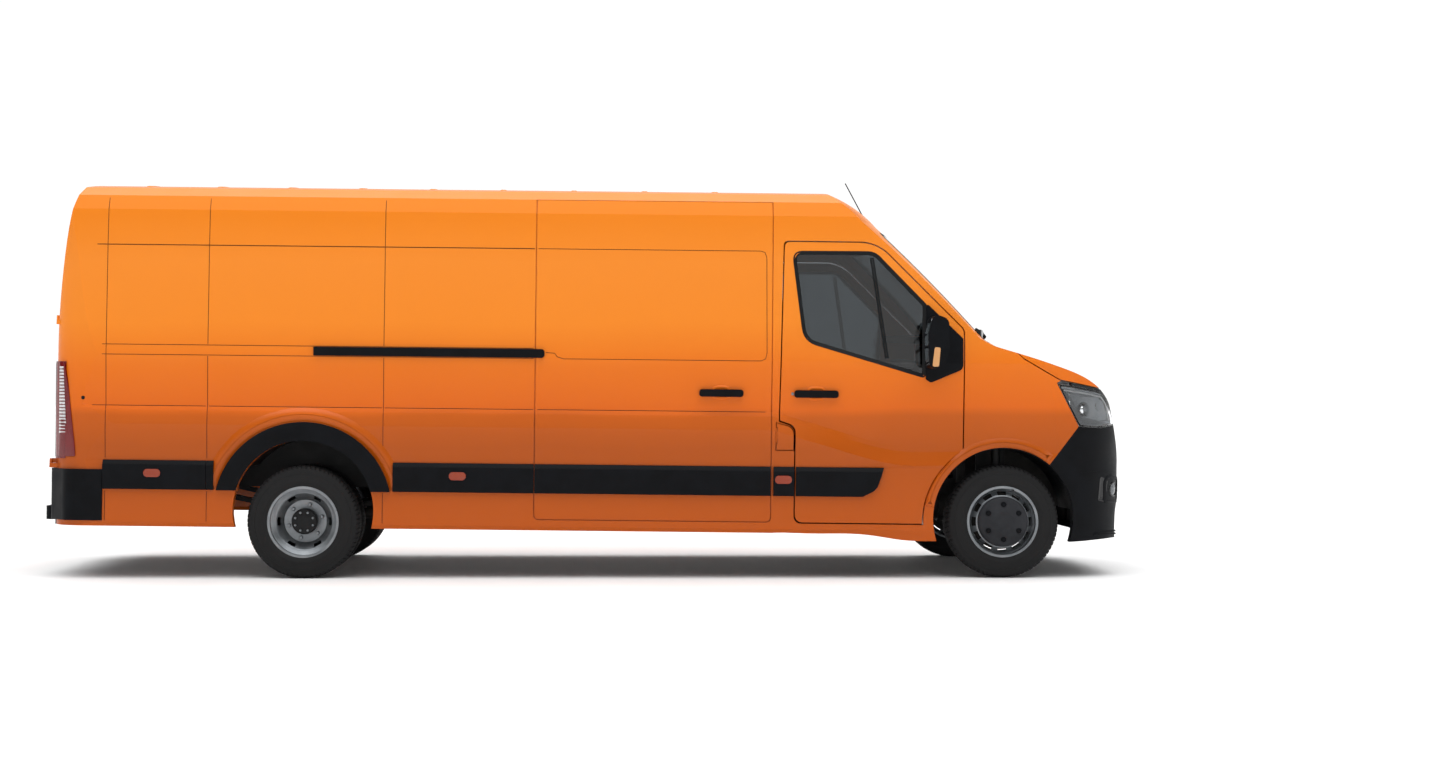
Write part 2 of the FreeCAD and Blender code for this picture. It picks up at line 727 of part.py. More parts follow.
def rear_hinge(z, upper):
    """One half of a right-hand rear hinge: the door carries the upper half, the corner the lower one."""
    z0 = z + running_gap if upper else z - rear_hinge_half
    z1 = z + rear_hinge_half if upper else z - running_gap
    x = rear_hinge_axis_x(z)
    lean = vec(rear_lean, 0, 1)
    foot = vec(rear_hinge_axis_x(z0), -rear_door_half, z0)
    barrel = Part.makeCylinder(rear_barrel_radius, (z1 - z0) * lean.Length, foot, lean)
    inner = -rear_door_half + rear_leaf_width if upper else -rear_door_half
    outer = -rear_door_half if upper else -rear_door_half - rear_leaf_width
    leaf = block(x, x + 4 * rear_leaf_width, inner, outer, z0, z1).cut(outer_load)
    leaf = min(leaf.Solids, key=lambda solid: solid.CenterOfMass.x)
    return fused([barrel, leaf])


rear_door_right = fused([load_shell.common(rear_door_prism(-1, 0.0))]
                        + [rear_hinge(z, True) for z in (rear_hinge_low_z, rear_hinge_high_z)])
save("rear_door_right", rear_door_right)
save("rear_door_left", mirrored(rear_door_right))
rear_hole = block(rear_corner_end_x, rear_region_x, -rear_door_half - panel_gap, rear_door_half + panel_gap,
                  rear_door_low_z - panel_gap, rear_door_top_z + panel_gap)
load_shell = load_shell.cut(rear_hole)

# Side walls, roof and sliding door
roof_part = block(rear_corner_end_x, pillar_x, -side_out, side_out, roof_joint_z, high_z)
header_part = block(rear_corner_end_x, rear_region_x, -rear_door_half - panel_gap, rear_door_half + panel_gap,
                    rear_door_top_z, high_z)
rear_sill_part = block(rear_corner_end_x, rear_region_x, -rear_door_half - panel_gap,
                       rear_door_half + panel_gap, low_z, rear_door_low_z)
roof = load_shell.common(fused([roof_part, header_part]))
save("roof_panel", roof)
rear_sill = load_shell.common(rear_sill_part)
wall_shell = load_shell.cut(roof_part).cut(header_part).cut(rear_sill_part)
rear_arches = [round_bar("y", rear_axle_x, rear_arch_z, rear_arch_radius, side * arch_inner_y, side * side_out)
               for side in (-1, 1)]
wall_shell = wall_shell.cut(rear_arches[0]).cut(rear_arches[1])
left_wall = wall_shell.common(block(rear_corner_end_x, pillar_x, 0, side_out, low_z, high_z))
right_wall = wall_shell.common(block(rear_corner_end_x, pillar_x, -side_out, 0, low_z, high_z))
groove_depth = 14.0
groove_half = 3.0


def outline_groove(form, outline, half_width, depth):
    """A narrow groove along an outline, cut to one depth below the form's right side."""
    ring = grown("y", outline, half_width, -side_out, -side_in).cut(
        grown("y", outline, -half_width, -side_out, -side_in))
    under = form.copy()
    under.translate(vec(0, depth, 0))
    return ring.cut(under)


slide_outline = [(slide_rear_x, door_low_z, 30.0), (slide_front_x, door_low_z, 30.0),
                 (slide_front_x, roof_joint_z, 1.0), (slide_rear_x, roof_joint_z, 1.0)]
slide_tool = prism("y", slide_outline, -side_out, -side_in)
slide_groove = outline_groove(outer_load, slide_outline, groove_half, groove_depth)
sliding_door = right_wall.common(slide_tool).cut(slide_groove)
right_wall = right_wall.cut(slide_tool).cut(slide_groove)
save("sliding_door", sliding_door)
corner_hinges = [rear_hinge(z, False) for z in (rear_hinge_low_z, rear_hinge_high_z)]
save("side_wall_right", fused([right_wall] + corner_hinges))
save("side_wall_left", fused([left_wall] + [mirrored(solid) for solid in corner_hinges]))

# Floor with chassis rails, wheel boxes and the rear sill
floor_z = 690.0
floor_thickness = 50.0
floor_rear_x = -3235.0
rail_tail_x = -3290.0
rail_half_y = 430.0
rail_width = 80.0
rail_low = 500.0
frame_rail_front_x = 2680.0
cross_width = 90.0
cross_height = 70.0
cross_count = 7
wheel_box_length = 2 * (rear_arch_radius + wheel_box_wall)
floor_top_form = straight_body(floor_rear_x, pillar_x, side_wall, roof_wall).common(rear_prism(side_wall))
floor_top_form = floor_top_form.common(rear_corner_prism(side_wall))
floor = floor_top_form.common(block(floor_rear_x, pillar_x, -side_out, side_out, floor_z - floor_thickness, floor_z))
box_outer = [round_bar("y", rear_axle_x, rear_arch_z, rear_arch_radius + wheel_box_wall,
                       side * (arch_inner_y - wheel_box_wall), side * side_out) for side in (-1, 1)]
box_outer = [solid.common(floor_top_form).common(block(floor_rear_x, pillar_x, -side_out, side_out,
                                                      floor_z - floor_thickness, high_z)) for solid in box_outer]
rails = []
for side in (-1, 1):
    y0 = side * rail_half_y
    y1 = side * (rail_half_y + rail_width)
    rails.append(block(floor_rear_x, pillar_x, y0, y1, rail_low, floor_z - floor_thickness))
    rails.append(block(rail_tail_x, floor_rear_x, y0, y1, rail_low, rear_door_low_z - 2 * panel_gap))
    rails.append(block(pillar_x, frame_rail_front_x, y0, y1, rail_low, cab_floor_z - cab_floor_thickness))
crosses = []
for index in range(cross_count):
    x0 = floor_rear_x + (pillar_x - floor_rear_x - cross_width) * index / (cross_count - 1)
    crosses.append(block(x0, x0 + cross_width, -rail_half_y, rail_half_y, floor_z - floor_thickness - cross_height,
                         floor_z - floor_thickness))
cab_floor_part = block(pillar_x, firewall_x, -side_out, side_out, cab_floor_z - cab_floor_thickness,
                       cab_floor_z).common(cab_form(side_wall, roof_wall))
step_panel = block(pillar_x, pillar_x + 20.0, -rail_half_y - rail_width, rail_half_y + rail_width,
                   cab_floor_z - cab_floor_thickness, floor_z)
firewall_part = block(firewall_x, firewall_x + firewall_thickness, -850.0, 850.0,
                      cab_floor_z - cab_floor_thickness, firewall_top_z).common(inner_cab)
wheel_boxes = [solid.cut(tool) for solid, tool in zip(box_outer, rear_arches)]
save("wheel_boxes", wheel_boxes)
for solid, tool in zip(box_outer, rear_arches):
    floor = floor.cut(solid).cut(tool)
save("floor_pan", floor)
save("chassis_frame", fused(rails + crosses + [rear_sill]))
cab_floor = fused([cab_floor_part, step_panel, firewall_part])
for tool in arch_cuts():
    cab_floor = cab_floor.cut(tool)
save("cab_floor", cab_floor)

# Bulkhead behind the seats
bulkhead_thickness = 24.0
bulkhead = inner_load.common(block(pillar_x - bulkhead_thickness, pillar_x, -side_out, side_out, floor_z, high_z))
save("bulkhead", bulkhead)

# Rear bumper with its step, and the tail lamps
bumper_top_z = 677.0
bumper_low_z = 300.0
bumper_rear_x = -3345.0
bumper_wall = 60.0
step_low_z = 285.0
step_high_z = 370.0
step_half_y = 700.0
bumper_half_y = 1020.0
bumper_front_x = -2990.0
bumper_outline = [(bumper_front_x, -bumper_half_y, 4.0), (bumper_rear_x + 130.0, -bumper_half_y, 90.0),
                  (bumper_rear_x, -rear_door_half, 60.0), (bumper_rear_x, rear_door_half, 60.0),
                  (bumper_rear_x + 130.0, bumper_half_y, 90.0), (bumper_front_x, bumper_half_y, 4.0)]
rear_bumper = prism("z", bumper_outline, bumper_low_z, rear_door_low_z - 2 * panel_gap)
rear_bumper = rear_bumper.cut(prism("z", bumper_outline, low_z, high_z).common(outer_load))
rear_bumper = rear_bumper.cut(block(bumper_front_x - 1.0, -3300.0, -900.0, 900.0, low_z, high_z))
rear_step = prism("z", [(step_end_x, -step_half_y, 40.0), (step_end_x, step_half_y, 40.0),
                        (bumper_rear_x + overrun, step_half_y), (bumper_rear_x + overrun, -step_half_y)],
                  step_low_z, step_high_z)
rear_bumper = fused([rear_bumper, rear_step.cut(outer_load)])
save("rear_bumper", rear_bumper)
lamp_low_z = 680.0
lamp_top_z = 1281.0
lamp_front_x = -3232.0
tail_depth = 30.0
tail_region = block(rear_corner_end_x, lamp_front_x, rear_door_half + panel_gap + 4.0, side_out, lamp_low_z,
                    lamp_top_z)
tail_body = outer_load.copy()
tail_body.translate(vec(-12.0, 0, 0))
tail_right = mirrored(tail_body.common(tail_region).cut(outer_load))
save("tail_lamps", both_sides(tail_right))


# Wheels
def tyre(y_centre, x):
    half = tyre_width / 2
    bead = tyre_bead_radius
    profile = [
        (bead, -half + 28.0), (rim_flange_radius + 2 * bead_seat_gap, -half + 19.6),
        (rim_flange_radius + 2 * bead_seat_gap, -half + 11.0), (bead + 30.0, -half + 4.0), (tyre_radius - 95.0, -half),
        (tyre_radius - 30.0, -half + 8.0), (tyre_radius - 8.0, -half + 22.0), (tyre_radius, -half + 40.0),
        (tyre_radius, half - 40.0), (tyre_radius - 8.0, half - 22.0), (tyre_radius - 30.0, half - 8.0),
        (tyre_radius - 95.0, half), (bead + 30.0, half - 4.0), (rim_flange_radius + 2 * bead_seat_gap, half - 11.0),
        (rim_flange_radius + 2 * bead_seat_gap, half - 19.6), (bead, half - 28.0),
    ]
    return turned([(radius, y + y_centre) for radius, y in profile], x, tyre_radius)


def rim_ring(y_centre, side):
    """The rim's barrel with its two flanges and its well."""
    half = rim_width / 2
    flange = rim_flange_radius
    well = rim_well_radius
    seat = tyre_bead_radius - bead_seat_gap
    wall = rim_wall
    outer = [(flange, -half), (flange, -half + wall), (seat, -half + 2 * wall), (seat, -half + 5 * wall),
             (well, -half + 7 * wall), (well, half - 7 * wall), (seat, half - 5 * wall), (seat, half - 2 * wall),
             (flange, half - wall), (flange, half)]
    inner = [(seat - wall, half), (seat - wall, half - 5 * wall), (well - wall, half - 7 * wall),
             (well - wall, -half + 7 * wall), (seat - wall, -half + 5 * wall), (seat - wall, -half)]
    return [(radius, y_centre + y) for radius, y in outer + inner]


def front_rim(side):
    """Rim, domed disc with its vents, and the plastic cap with its nut covers."""
    centre = side * front_track_half
    ring = turned(rim_ring(centre, side), front_axle_x, tyre_radius)
    face = centre + side * (rim_width / 2)
    disc_edge = rim_well_radius + 4.0
    disc = turned([(stub_radius + bead_seat_gap, face - side * 4.0), (vent_inner_radius, face - side * 14.0),
                   (disc_edge, face - side * 50.0), (disc_edge, face - side * (50.0 + disc_thickness)),
                   (vent_inner_radius, face - side * (14.0 + disc_thickness)),
                   (rim_centre_bore, face - side * (4.0 + disc_thickness)),
                   (rim_centre_bore, face - side * hub_sleeve_length),
                   (stub_radius + bead_seat_gap, face - side * hub_sleeve_length)], front_axle_x, tyre_radius)
    cap = turned([(0, face + side * 4.0), (0, face + side * hub_cap_depth), (70.0, face + side * hub_cap_depth),
                  (140.0, face + side * (hub_cap_depth - 12.0)), (hub_cap_radius, face + side * 6.0),
                  (hub_cap_radius, face - side * 16.0), (hub_cap_radius - 8.0, face - side * 16.0),
                  (rim_centre_bore, face - side * 9.0), (rim_centre_bore, face + side * 4.0)],
                 front_axle_x, tyre_radius)
    return fused([ring, disc, cap])


def rear_rims(side):
    """Two rims back to back: the outer one deeply dished, the inner one flat, on one hub."""
    solids = []
    outer_centre = side * (rear_track_half + twin_spacing / 2)
    inner_centre = side * (rear_track_half - twin_spacing / 2)
    solids.append(turned(rim_ring(outer_centre, side), rear_axle_x, tyre_radius))
    solids.append(turned(rim_ring(inner_centre, side), rear_axle_x, tyre_radius))
    face = outer_centre + side * (rim_width / 2)
    floor_y = face - side * dish_depth
    dish = turned([(rim_centre_bore, floor_y), (dish_flange_radius, floor_y), (dish_step_radius, floor_y + side * 60.0),
                   (rim_well_radius, floor_y + side * 66.0), (rim_well_radius, floor_y + side * 54.0),
                   (dish_step_radius + 6.0, floor_y + side * 46.0), (dish_flange_radius + 10.0, floor_y - side * 12.0),
                   (rim_centre_bore, floor_y - side * 12.0)], rear_axle_x, tyre_radius)
    hub = round_bar("y", rear_axle_x, tyre_radius, rear_hub_radius, floor_y - side * 100.0,
                    floor_y + side * rear_hub_length)
    inner_disc = turned([(rear_hub_radius - 2.0, floor_y - side * 12.0), (dish_flange_radius, floor_y - side * 12.0),
                         (rim_well_radius, inner_centre + side * 20.0), (rim_well_radius, inner_centre + side * 8.0),
                         (dish_flange_radius, floor_y - side * 24.0),
                         (rear_hub_radius - 2.0, floor_y - side * 24.0)], rear_axle_x, tyre_radius)
    return fused(solids + [dish, hub, inner_disc])


save("front_tyre_right", tyre(-front_track_half, front_axle_x), rake=False)
save("front_tyre_left", tyre(front_track_half, front_axle_x), rake=False)
right_front_rim = front_rim(-1)
save("front_rim_right", right_front_rim, rake=False)
save("front_rim_left", mirrored(right_front_rim), rake=False)
right_rear_tyres = [tyre(-(rear_track_half + twin_spacing / 2), rear_axle_x),
                    tyre(-(rear_track_half - twin_spacing / 2), rear_axle_x)]
save("rear_tyres_right", right_rear_tyres, rake=False)
save("rear_tyres_left", [mirrored(solid) for solid in right_rear_tyres], rake=False)
right_rear_rims = rear_rims(-1)
save("rear_rims_right", right_rear_rims, rake=False)
save("rear_rims_left", mirrored(right_rear_rims), rake=False)

# Front suspension, knuckles and the parts below the floor
kingpin_y = 735.0
strut_radius = 28.0
strut_top_z = 1000.0
upright_half = 36.0
upright_low_z = 265.0
upright_top_z = 470.0
arm_low_z = 205.0
arm_thickness = 40.0
ball_radius = 24.0
subframe_half_y = 360.0
subframe_x0 = 2440.0
subframe_x1 = 2730.0
tower_plate = 20.0
tower_outer_y = 552.0
tower_half_x = 90.0


def knuckle(side):
    """Upright, strut and stub axle, which turn together about the upright steering axis."""
    y = side * kingpin_y
    upright = block(front_axle_x - upright_half, front_axle_x + upright_half, y - upright_half * 0.7,
                    y + upright_half * 0.7, upright_low_z, upright_top_z)
    strut = round_bar("z", front_axle_x, y, strut_radius, upright_top_z - 10.0, strut_top_z)
    face = side * (front_track_half + rim_width / 2)
    stub = round_bar("y", front_axle_x, tyre_radius, stub_radius, y, face - side * 12.0)
    shoulder = round_bar("y", front_axle_x, tyre_radius, rim_centre_bore, y,
                         face - side * (hub_sleeve_length + running_gap))
    return fused([upright, strut, stub, shoulder])


right_knuckle = knuckle(-1)
save("front_knuckle_right", right_knuckle, rake=False)
save("front_knuckle_left", mirrored(right_knuckle), rake=False)
suspension = [block(subframe_x0, subframe_x1, -subframe_half_y, subframe_half_y, arm_low_z, arm_low_z + 80.0)]
for side in (-1, 1):
    arm = prism("z", [(subframe_x0 + 20.0, side * (subframe_half_y - 20.0)),
                      (subframe_x1 - 20.0, side * (subframe_half_y - 20.0)),
                      (front_axle_x + 45.0, side * (kingpin_y + 10.0), 30.0),
                      (front_axle_x - 45.0, side * (kingpin_y + 10.0), 30.0)], arm_low_z, arm_low_z + arm_thickness)
    ball = round_bar("z", front_axle_x, side * kingpin_y, ball_radius, arm_low_z + arm_thickness - 5.0,
                     upright_low_z - running_gap)
    foot = block(front_axle_x - tower_half_x, front_axle_x + tower_half_x, side * (subframe_half_y - 40.0),
                 side * tower_outer_y, arm_low_z + arm_thickness + 5.0, arm_low_z + 80.0)
    wall = block(front_axle_x - tower_half_x, front_axle_x + tower_half_x, side * (tower_outer_y - tower_plate),
                 side * tower_outer_y, arm_low_z + arm_thickness + 5.0, strut_top_z + tower_plate)
    cap = block(front_axle_x - tower_half_x, front_axle_x + tower_half_x, side * (tower_outer_y - tower_plate),
                side * (kingpin_y + 60.0), strut_top_z + running_gap, strut_top_z + tower_plate)
    bracket = block(front_axle_x - tower_half_x, front_axle_x + tower_half_x,
                    side * (rail_half_y + rail_width + touch_gap), side * tower_outer_y, rail_low,
                    cab_floor_z - cab_floor_thickness)
    suspension += [arm, ball, foot, wall, cap, bracket]
save("front_suspension", fused(suspension), rake=False)

axle_radius = 45.0
casing_radius = 140.0
axle_half = rear_track_half + twin_spacing / 2 + rim_width / 2 - dish_depth - 100.0 - running_gap
spring_y = rail_half_y + rail_width / 2
spring_half_width = 35.0
spring_thickness = 32.0
spring_reach = 640.0
axle_drop = math.tan(math.radians(body_rake_degrees)) * wheelbase
spring_low = tyre_radius - axle_drop + axle_radius - 4.0
axle = fused([round_bar("y", rear_axle_x, tyre_radius, axle_radius, -axle_half, axle_half),
              turned([(0, -casing_radius), (70.0, -casing_radius), (casing_radius, -60.0), (casing_radius, 60.0),
                      (70.0, casing_radius), (0, casing_radius)], rear_axle_x, tyre_radius)])
rear_parts = [axle]
for side in (-1, 1):
    y0 = side * (spring_y - spring_half_width)
    y1 = side * (spring_y + spring_half_width)
    leaf = prism("y", [(rear_axle_x - spring_reach, rail_low - 60.0), (rear_axle_x - 180.0, spring_low, 900.0),
                       (rear_axle_x + 180.0, spring_low, 900.0), (rear_axle_x + spring_reach, rail_low - 60.0),
                       (rear_axle_x + spring_reach, rail_low - 60.0 + spring_thickness),
                       (rear_axle_x + 180.0, spring_low + spring_thickness, 900.0),
                       (rear_axle_x - 180.0, spring_low + spring_thickness, 900.0),
                       (rear_axle_x - spring_reach, rail_low - 60.0 + spring_thickness)], min(y0, y1), max(y0, y1))
    hangers = [block(rear_axle_x + end * spring_reach, rear_axle_x + end * (spring_reach - 50.0), y0, y1,
                     rail_low - 60.0, rail_low) for end in (-1, 1)]
    clamp = block(rear_axle_x - 60.0, rear_axle_x + 60.0, y0, y1, spring_low + 2.0, spring_low + 60.0)
    rear_parts.append(raked(fused([leaf, clamp] + hangers)))
rear_axle = fused(rear_parts)
save("rear_axle", rear_axle, rake=False)

engine = block(2470.0, 3080.0, -300.0, 300.0, 420.0, 1080.0)
save("engine", engine)
gear_radius = 115.0
shaft_radius = 36.0
gear_z = 425.0
bell_radius = 128.0
gearbox = fused([round_bar("x", 0, gear_z, gear_radius, 1850.0, 2430.0),
                 round_bar("x", 0, gear_z, bell_radius, 2330.0, 2470.0)])
shaft = bar_between(vec(1860.0, 0, gear_z), vec(rear_axle_x + casing_radius - 20.0, 0, tyre_radius - axle_drop),
                    shaft_radius)
driveline = raked(fused([gearbox, shaft])).cut(rear_axle)
save("driveline", max(driveline.Solids, key=lambda solid: solid.Volume), rake=False)

tank = prism("x", [(-890.0, 400.0, 60.0), (-560.0, 380.0, 60.0), (-560.0, 630.0, 40.0), (-890.0, 630.0, 40.0)],
             -50.0, 950.0)
tank_straps = [prism("x", [(-902.0, 388.0, 60.0), (-548.0, 368.0, 60.0), (-548.0, 640.0), (-902.0, 640.0)],
                     x, x + 50.0) for x in (100.0, 720.0)]
tank = fused([tank] + tank_straps)
save("fuel_tank", tank)

pipe_radius = 28.0
pipe_points = [vec(2380.0, 330.0, 430.0), vec(1500.0, 330.0, 430.0), vec(900.0, 250.0, 400.0),
               vec(-900.0, 250.0, 400.0), vec(-1080.0, 620.0, 330.0), vec(-1080.0, 940.0, 320.0)]
pipes = [bar_between(a, b, pipe_radius) for a, b in zip(pipe_points, pipe_points[1:])]
joints = [Part.makeSphere(pipe_radius, point) for point in pipe_points[1:-1]]
muffler = bar_between(vec(100.0, 250.0, 400.0), vec(750.0, 250.0, 400.0), 90.0)
hanger = block(500.0, 540.0, 220.0, 260.0, 400.0, floor_z - floor_thickness)
save("exhaust", fused(pipes + joints + [muffler, hanger]))

spare_x = -2780.0
spare_z = 484.0
spare_tyre = Part.makeCylinder(tyre_radius, tyre_width - 40.0, vec(spare_x, 0, spare_z - tyre_width / 2 + 20.0))
spare_tyre = spare_tyre.makeFillet(40.0, [edge for edge in spare_tyre.Edges if isinstance(edge.Curve, Part.Circle)])
spare_hole = Part.makeCylinder(tyre_bead_radius - 20.0, tyre_width, vec(spare_x, 0, spare_z - tyre_width / 2 - 50.0))
spare_hook = round_bar("z", spare_x, 0, 20.0, spare_z, floor_z - floor_thickness)
save("spare_wheel", fused([spare_tyre.cut(spare_hole), spare_hook]))

# Cab inside: dashboard with column, seats, steering wheel
dash_outline = [(firewall_x, 720.0), (firewall_x, 1330.0, 40.0), (2240.0, 1340.0, 60.0), (2110.0, 1270.0, 60.0),
                (2085.0, 1150.0, 60.0), (2170.0, 900.0, 80.0), (2230.0, 720.0, 10.0)]
dash_half = 870.0
wheel_centre = vec(1985.0, 430.0, 1190.0)
column_tilt = 42.0
column_axis = vec(-math.cos(math.radians(column_tilt)), 0, math.sin(math.radians(column_tilt)))
wheel_rim_radius = 205.0
wheel_grip_radius = 16.0
hub_height = 34.0
hub_radius = 62.0
column_radius = 48.0
column_length = 190.0
dash = prism("y", dash_outline, -dash_half, dash_half)
column_top = wheel_centre - column_axis * (hub_height + running_gap)
column = Part.makeCylinder(column_radius, column_length, column_top - column_axis * column_length, column_axis)
save("dashboard", fused([dash, column]))
grip = Part.makeTorus(wheel_rim_radius, wheel_grip_radius, wheel_centre, column_axis)
hub = Part.makeCylinder(hub_radius, hub_height + 6.0, wheel_centre - column_axis * hub_height, column_axis)
spokes = []
for angle in (90.0, 210.0, 330.0):
    reach = Part.makeBox(wheel_rim_radius - 4.0, 46.0, 14.0, vec(0, -23.0, -7.0))
    reach.rotate(vec(0, 0, 0), vec(0, 0, 1), angle)
    spokes.append(reach)
spoke_set = Part.makeCompound(spokes)
spoke_set.rotate(vec(0, 0, 0), vec(0, 1, 0), -(90.0 - column_tilt))
spoke_set.translate(wheel_centre - column_axis * 12.0)
save("steering_wheel", fused([grip, hub] + spoke_set.Solids))


def seat(y0, y1):
    """Pedestal, cushion, raked back and a headrest for each place."""
    base = block(1420.0, 1860.0, y0 + 30.0, y1 - 30.0, cab_floor_z, 892.0)
    cushion = prism("y", [(1400.0, 870.0, 30.0), (1930.0, 890.0, 40.0), (1940.0, 1000.0, 50.0),
                          (1400.0, 970.0, 40.0)], y0, y1)
    back = prism("y", [(1340.0, 930.0, 30.0), (1470.0, 930.0, 30.0), (1370.0, 1560.0, 60.0),
                       (1265.0, 1560.0, 50.0)], y0, y1)
    places = max(1, round((y1 - y0) / 480.0))
    heads = []
    for index in range(places):
        middle = y0 + (y1 - y0) * (index + 0.5) / places
        heads.append(prism("y", [(1262.0, 1540.0, 20.0), (1340.0, 1540.0, 20.0), (1325.0, 1760.0, 35.0),
                                 (1245.0, 1760.0, 35.0)], middle - 125.0, middle + 125.0))
    return fused([base, cushion, back] + heads)


save("cab_seats", [seat(190.0, 680.0), seat(-800.0, 110.0)])

# Black side mouldings, rear arch trims, handles, rail cover, door trims
moulding_out = 1035.0
moulding_back = 990.0
moulding_face = [(moulding_back, moulding_low_z), (moulding_out - 6.0, moulding_low_z + 2.0, 6.0),
                 (moulding_out, moulding_bevel_z, 10.0), (moulding_out - 18.0, moulding_top_z, 4.0),
                 (moulding_back, moulding_top_z)]
arch_trim_radius = 550.0
arch_trim_thickness = 24.0


def moulding(x0, x1, form):
    face = [(-point[0],) + tuple(point[1:]) for point in moulding_face]
    bar = prism("x", face, x0, x1)
    return bar.cut(form)


seam_gap = 3.0
trim_half_chord = 460.0
arch_trim = round_bar("y", rear_axle_x, rear_arch_z, arch_trim_radius, -moulding_out, -moulding_back).cut(
    round_bar("y", rear_axle_x, rear_arch_z, rear_arch_radius, -side_out, -side_in))
arch_trim = arch_trim.common(block(rear_axle_x - arch_trim_radius - 1, rear_axle_x + arch_trim_radius + 1, -side_out, 0,
                                   moulding_low_z, high_z)).cut(outer_load)
trim_reach = math.sqrt(arch_trim_radius ** 2 - (moulding_top_z - rear_arch_z) ** 2)
right_mouldings = [arch_trim]
spans = [(bumper_front_x + seam_gap, -2350.0), (-2347.0, rear_axle_x - arch_trim_radius - seam_gap),
         (rear_axle_x + arch_trim_radius + seam_gap, slide_rear_x - seam_gap),
         (slide_rear_x + seam_gap, slide_front_x - seam_gap)]
for x0, x1 in spans:
    right_mouldings.append(moulding(x0, x1, outer_load))
right_mouldings.append(moulding(pillar_x + seam_gap, door_step_x - panel_gap, outer_cab))
save("side_mouldings", [solid for shape in right_mouldings for solid in both_sides(shape)])
marker_x = [-2680.0, -797.0, 1213.0]
markers = []
for x in marker_x:
    oval = prism("y", [(x - 52.0, 572.0, 24.0), (x + 52.0, 572.0, 24.0), (x + 52.0, 622.0, 24.0),
                       (x - 52.0, 622.0, 24.0)], -moulding_out - 6.0, -moulding_out + 2.0)
    markers += both_sides(oval.cut(moulding(x - 100.0, x + 100.0, outer_load)))
save("side_markers", markers)
rail_cover_x0 = -1694.0
rail_cover_x1 = -268.0
rail_cover = prism("y", [(rail_cover_x0, rail_low_z + 4.0, 4.0), (rail_cover_x1, rail_low_z + 4.0, 20.0),
                         (rail_cover_x1, rail_high_z - 4.0, 20.0), (rail_cover_x0, rail_high_z - 4.0, 4.0)],
                   -1030.0, -990.0).cut(outer_load)
handle_length = 272.0
handle_height = 46.0
handle_depth = 46.0


def handle(x0, z0, form):
    bar = prism("y", [(x0, z0, 18.0), (x0 + handle_length, z0, 18.0), (x0 + handle_length, z0 + handle_height, 18.0),
                      (x0, z0 + handle_height, 18.0)], -1014.0 - 18.0, -900.0)
    return bar.cut(form)


slide_handle = handle(690.0, 1104.0, outer_load)
save("sliding_door_fittings", [rail_cover, slide_handle])

sail_outline = [(2088.0, 1700.0, 10.0), (2318.0, 1480.0, 10.0), (2318.0, 1290.0, 40.0), (2120.0, 1205.0, 20.0),
                (2088.0, 1225.0, 10.0)]
door_moulding_end = prism("y", [(door_step_x + 4.0, moulding_low_z), (1700.0, moulding_low_z, 60.0),
                                (1790.0, 540.0, 80.0), (1835.0, moulding_top_z + 1.0), (door_step_x + 4.0,
                                moulding_top_z + 1.0)], -side_out, -side_in)
door_moulding = moulding(door_step_x, 1850.0, outer_cab).common(door_moulding_end)
door_handle = handle(1277.0, 1104.0, outer_cab)
sail = prism("y", sail_outline, -1012.0, -900.0).cut(outer_cab)
sail_body = outer_cab.copy()
sail_body.translate(vec(0, -14.0, 0))
sail = sail_body.common(prism("y", sail_outline, -side_out, -side_in)).cut(outer_cab)
door_trim = [door_moulding, door_handle, sail]
save("door_trim_right", door_trim)
save("door_trim_left", [mirrored(solid) for solid in door_trim])
mirror_body = prism("y", [(2072.0, 1290.0, 50.0), (2150.0, 1285.0, 60.0), (2195.0, 1400.0, 60.0),
                          (2190.0, 1590.0, 50.0), (2095.0, 1625.0, 40.0), (2066.0, 1500.0, 60.0)], -1235.0, -1062.0)
mirror_arm = prism("y", [(2105.0, 1330.0, 20.0), (2185.0, 1330.0, 20.0), (2185.0, 1420.0, 20.0),
                         (2105.0, 1420.0, 20.0)], -1070.0, -980.0).cut(sail_body).cut(outer_cab)
mirror = fused([mirror_body, mirror_arm])
save("mirror_right", mirror)
save("mirror_left", mirrored(mirror))

antenna = fused([bar_between(vec(1840.0, 0, 2222.0), vec(1864.0, 0, 2268.0), 16.0),
                 bar_between(vec(1856.0, 0, 2256.0), vec(1702.0, 0, 2538.0), 3.5)]).cut(outer_cab)
save("antenna", max(antenna.Solids, key=lambda solid: solid.Volume))
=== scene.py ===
# %% [markdown]
# # A long orange panel van in a white studio
# The van is already built as solid parts: panels, glass, wheels, axles and lamps. This lesson loads those
# parts as a fixed frame and gives them their looks. Nothing here moves or resizes a part. Each finish is
# made from what the real surface is, and the small things that a body shop or a tyre mould adds, such as
# tread, bolts, seals and lamp insides, are modelled as meshes that ride on the parts.

# %% Load the van
import math

import bmesh
import bpy
from mathutils import Matrix, Vector
from mathutils.bvhtree import BVHTree


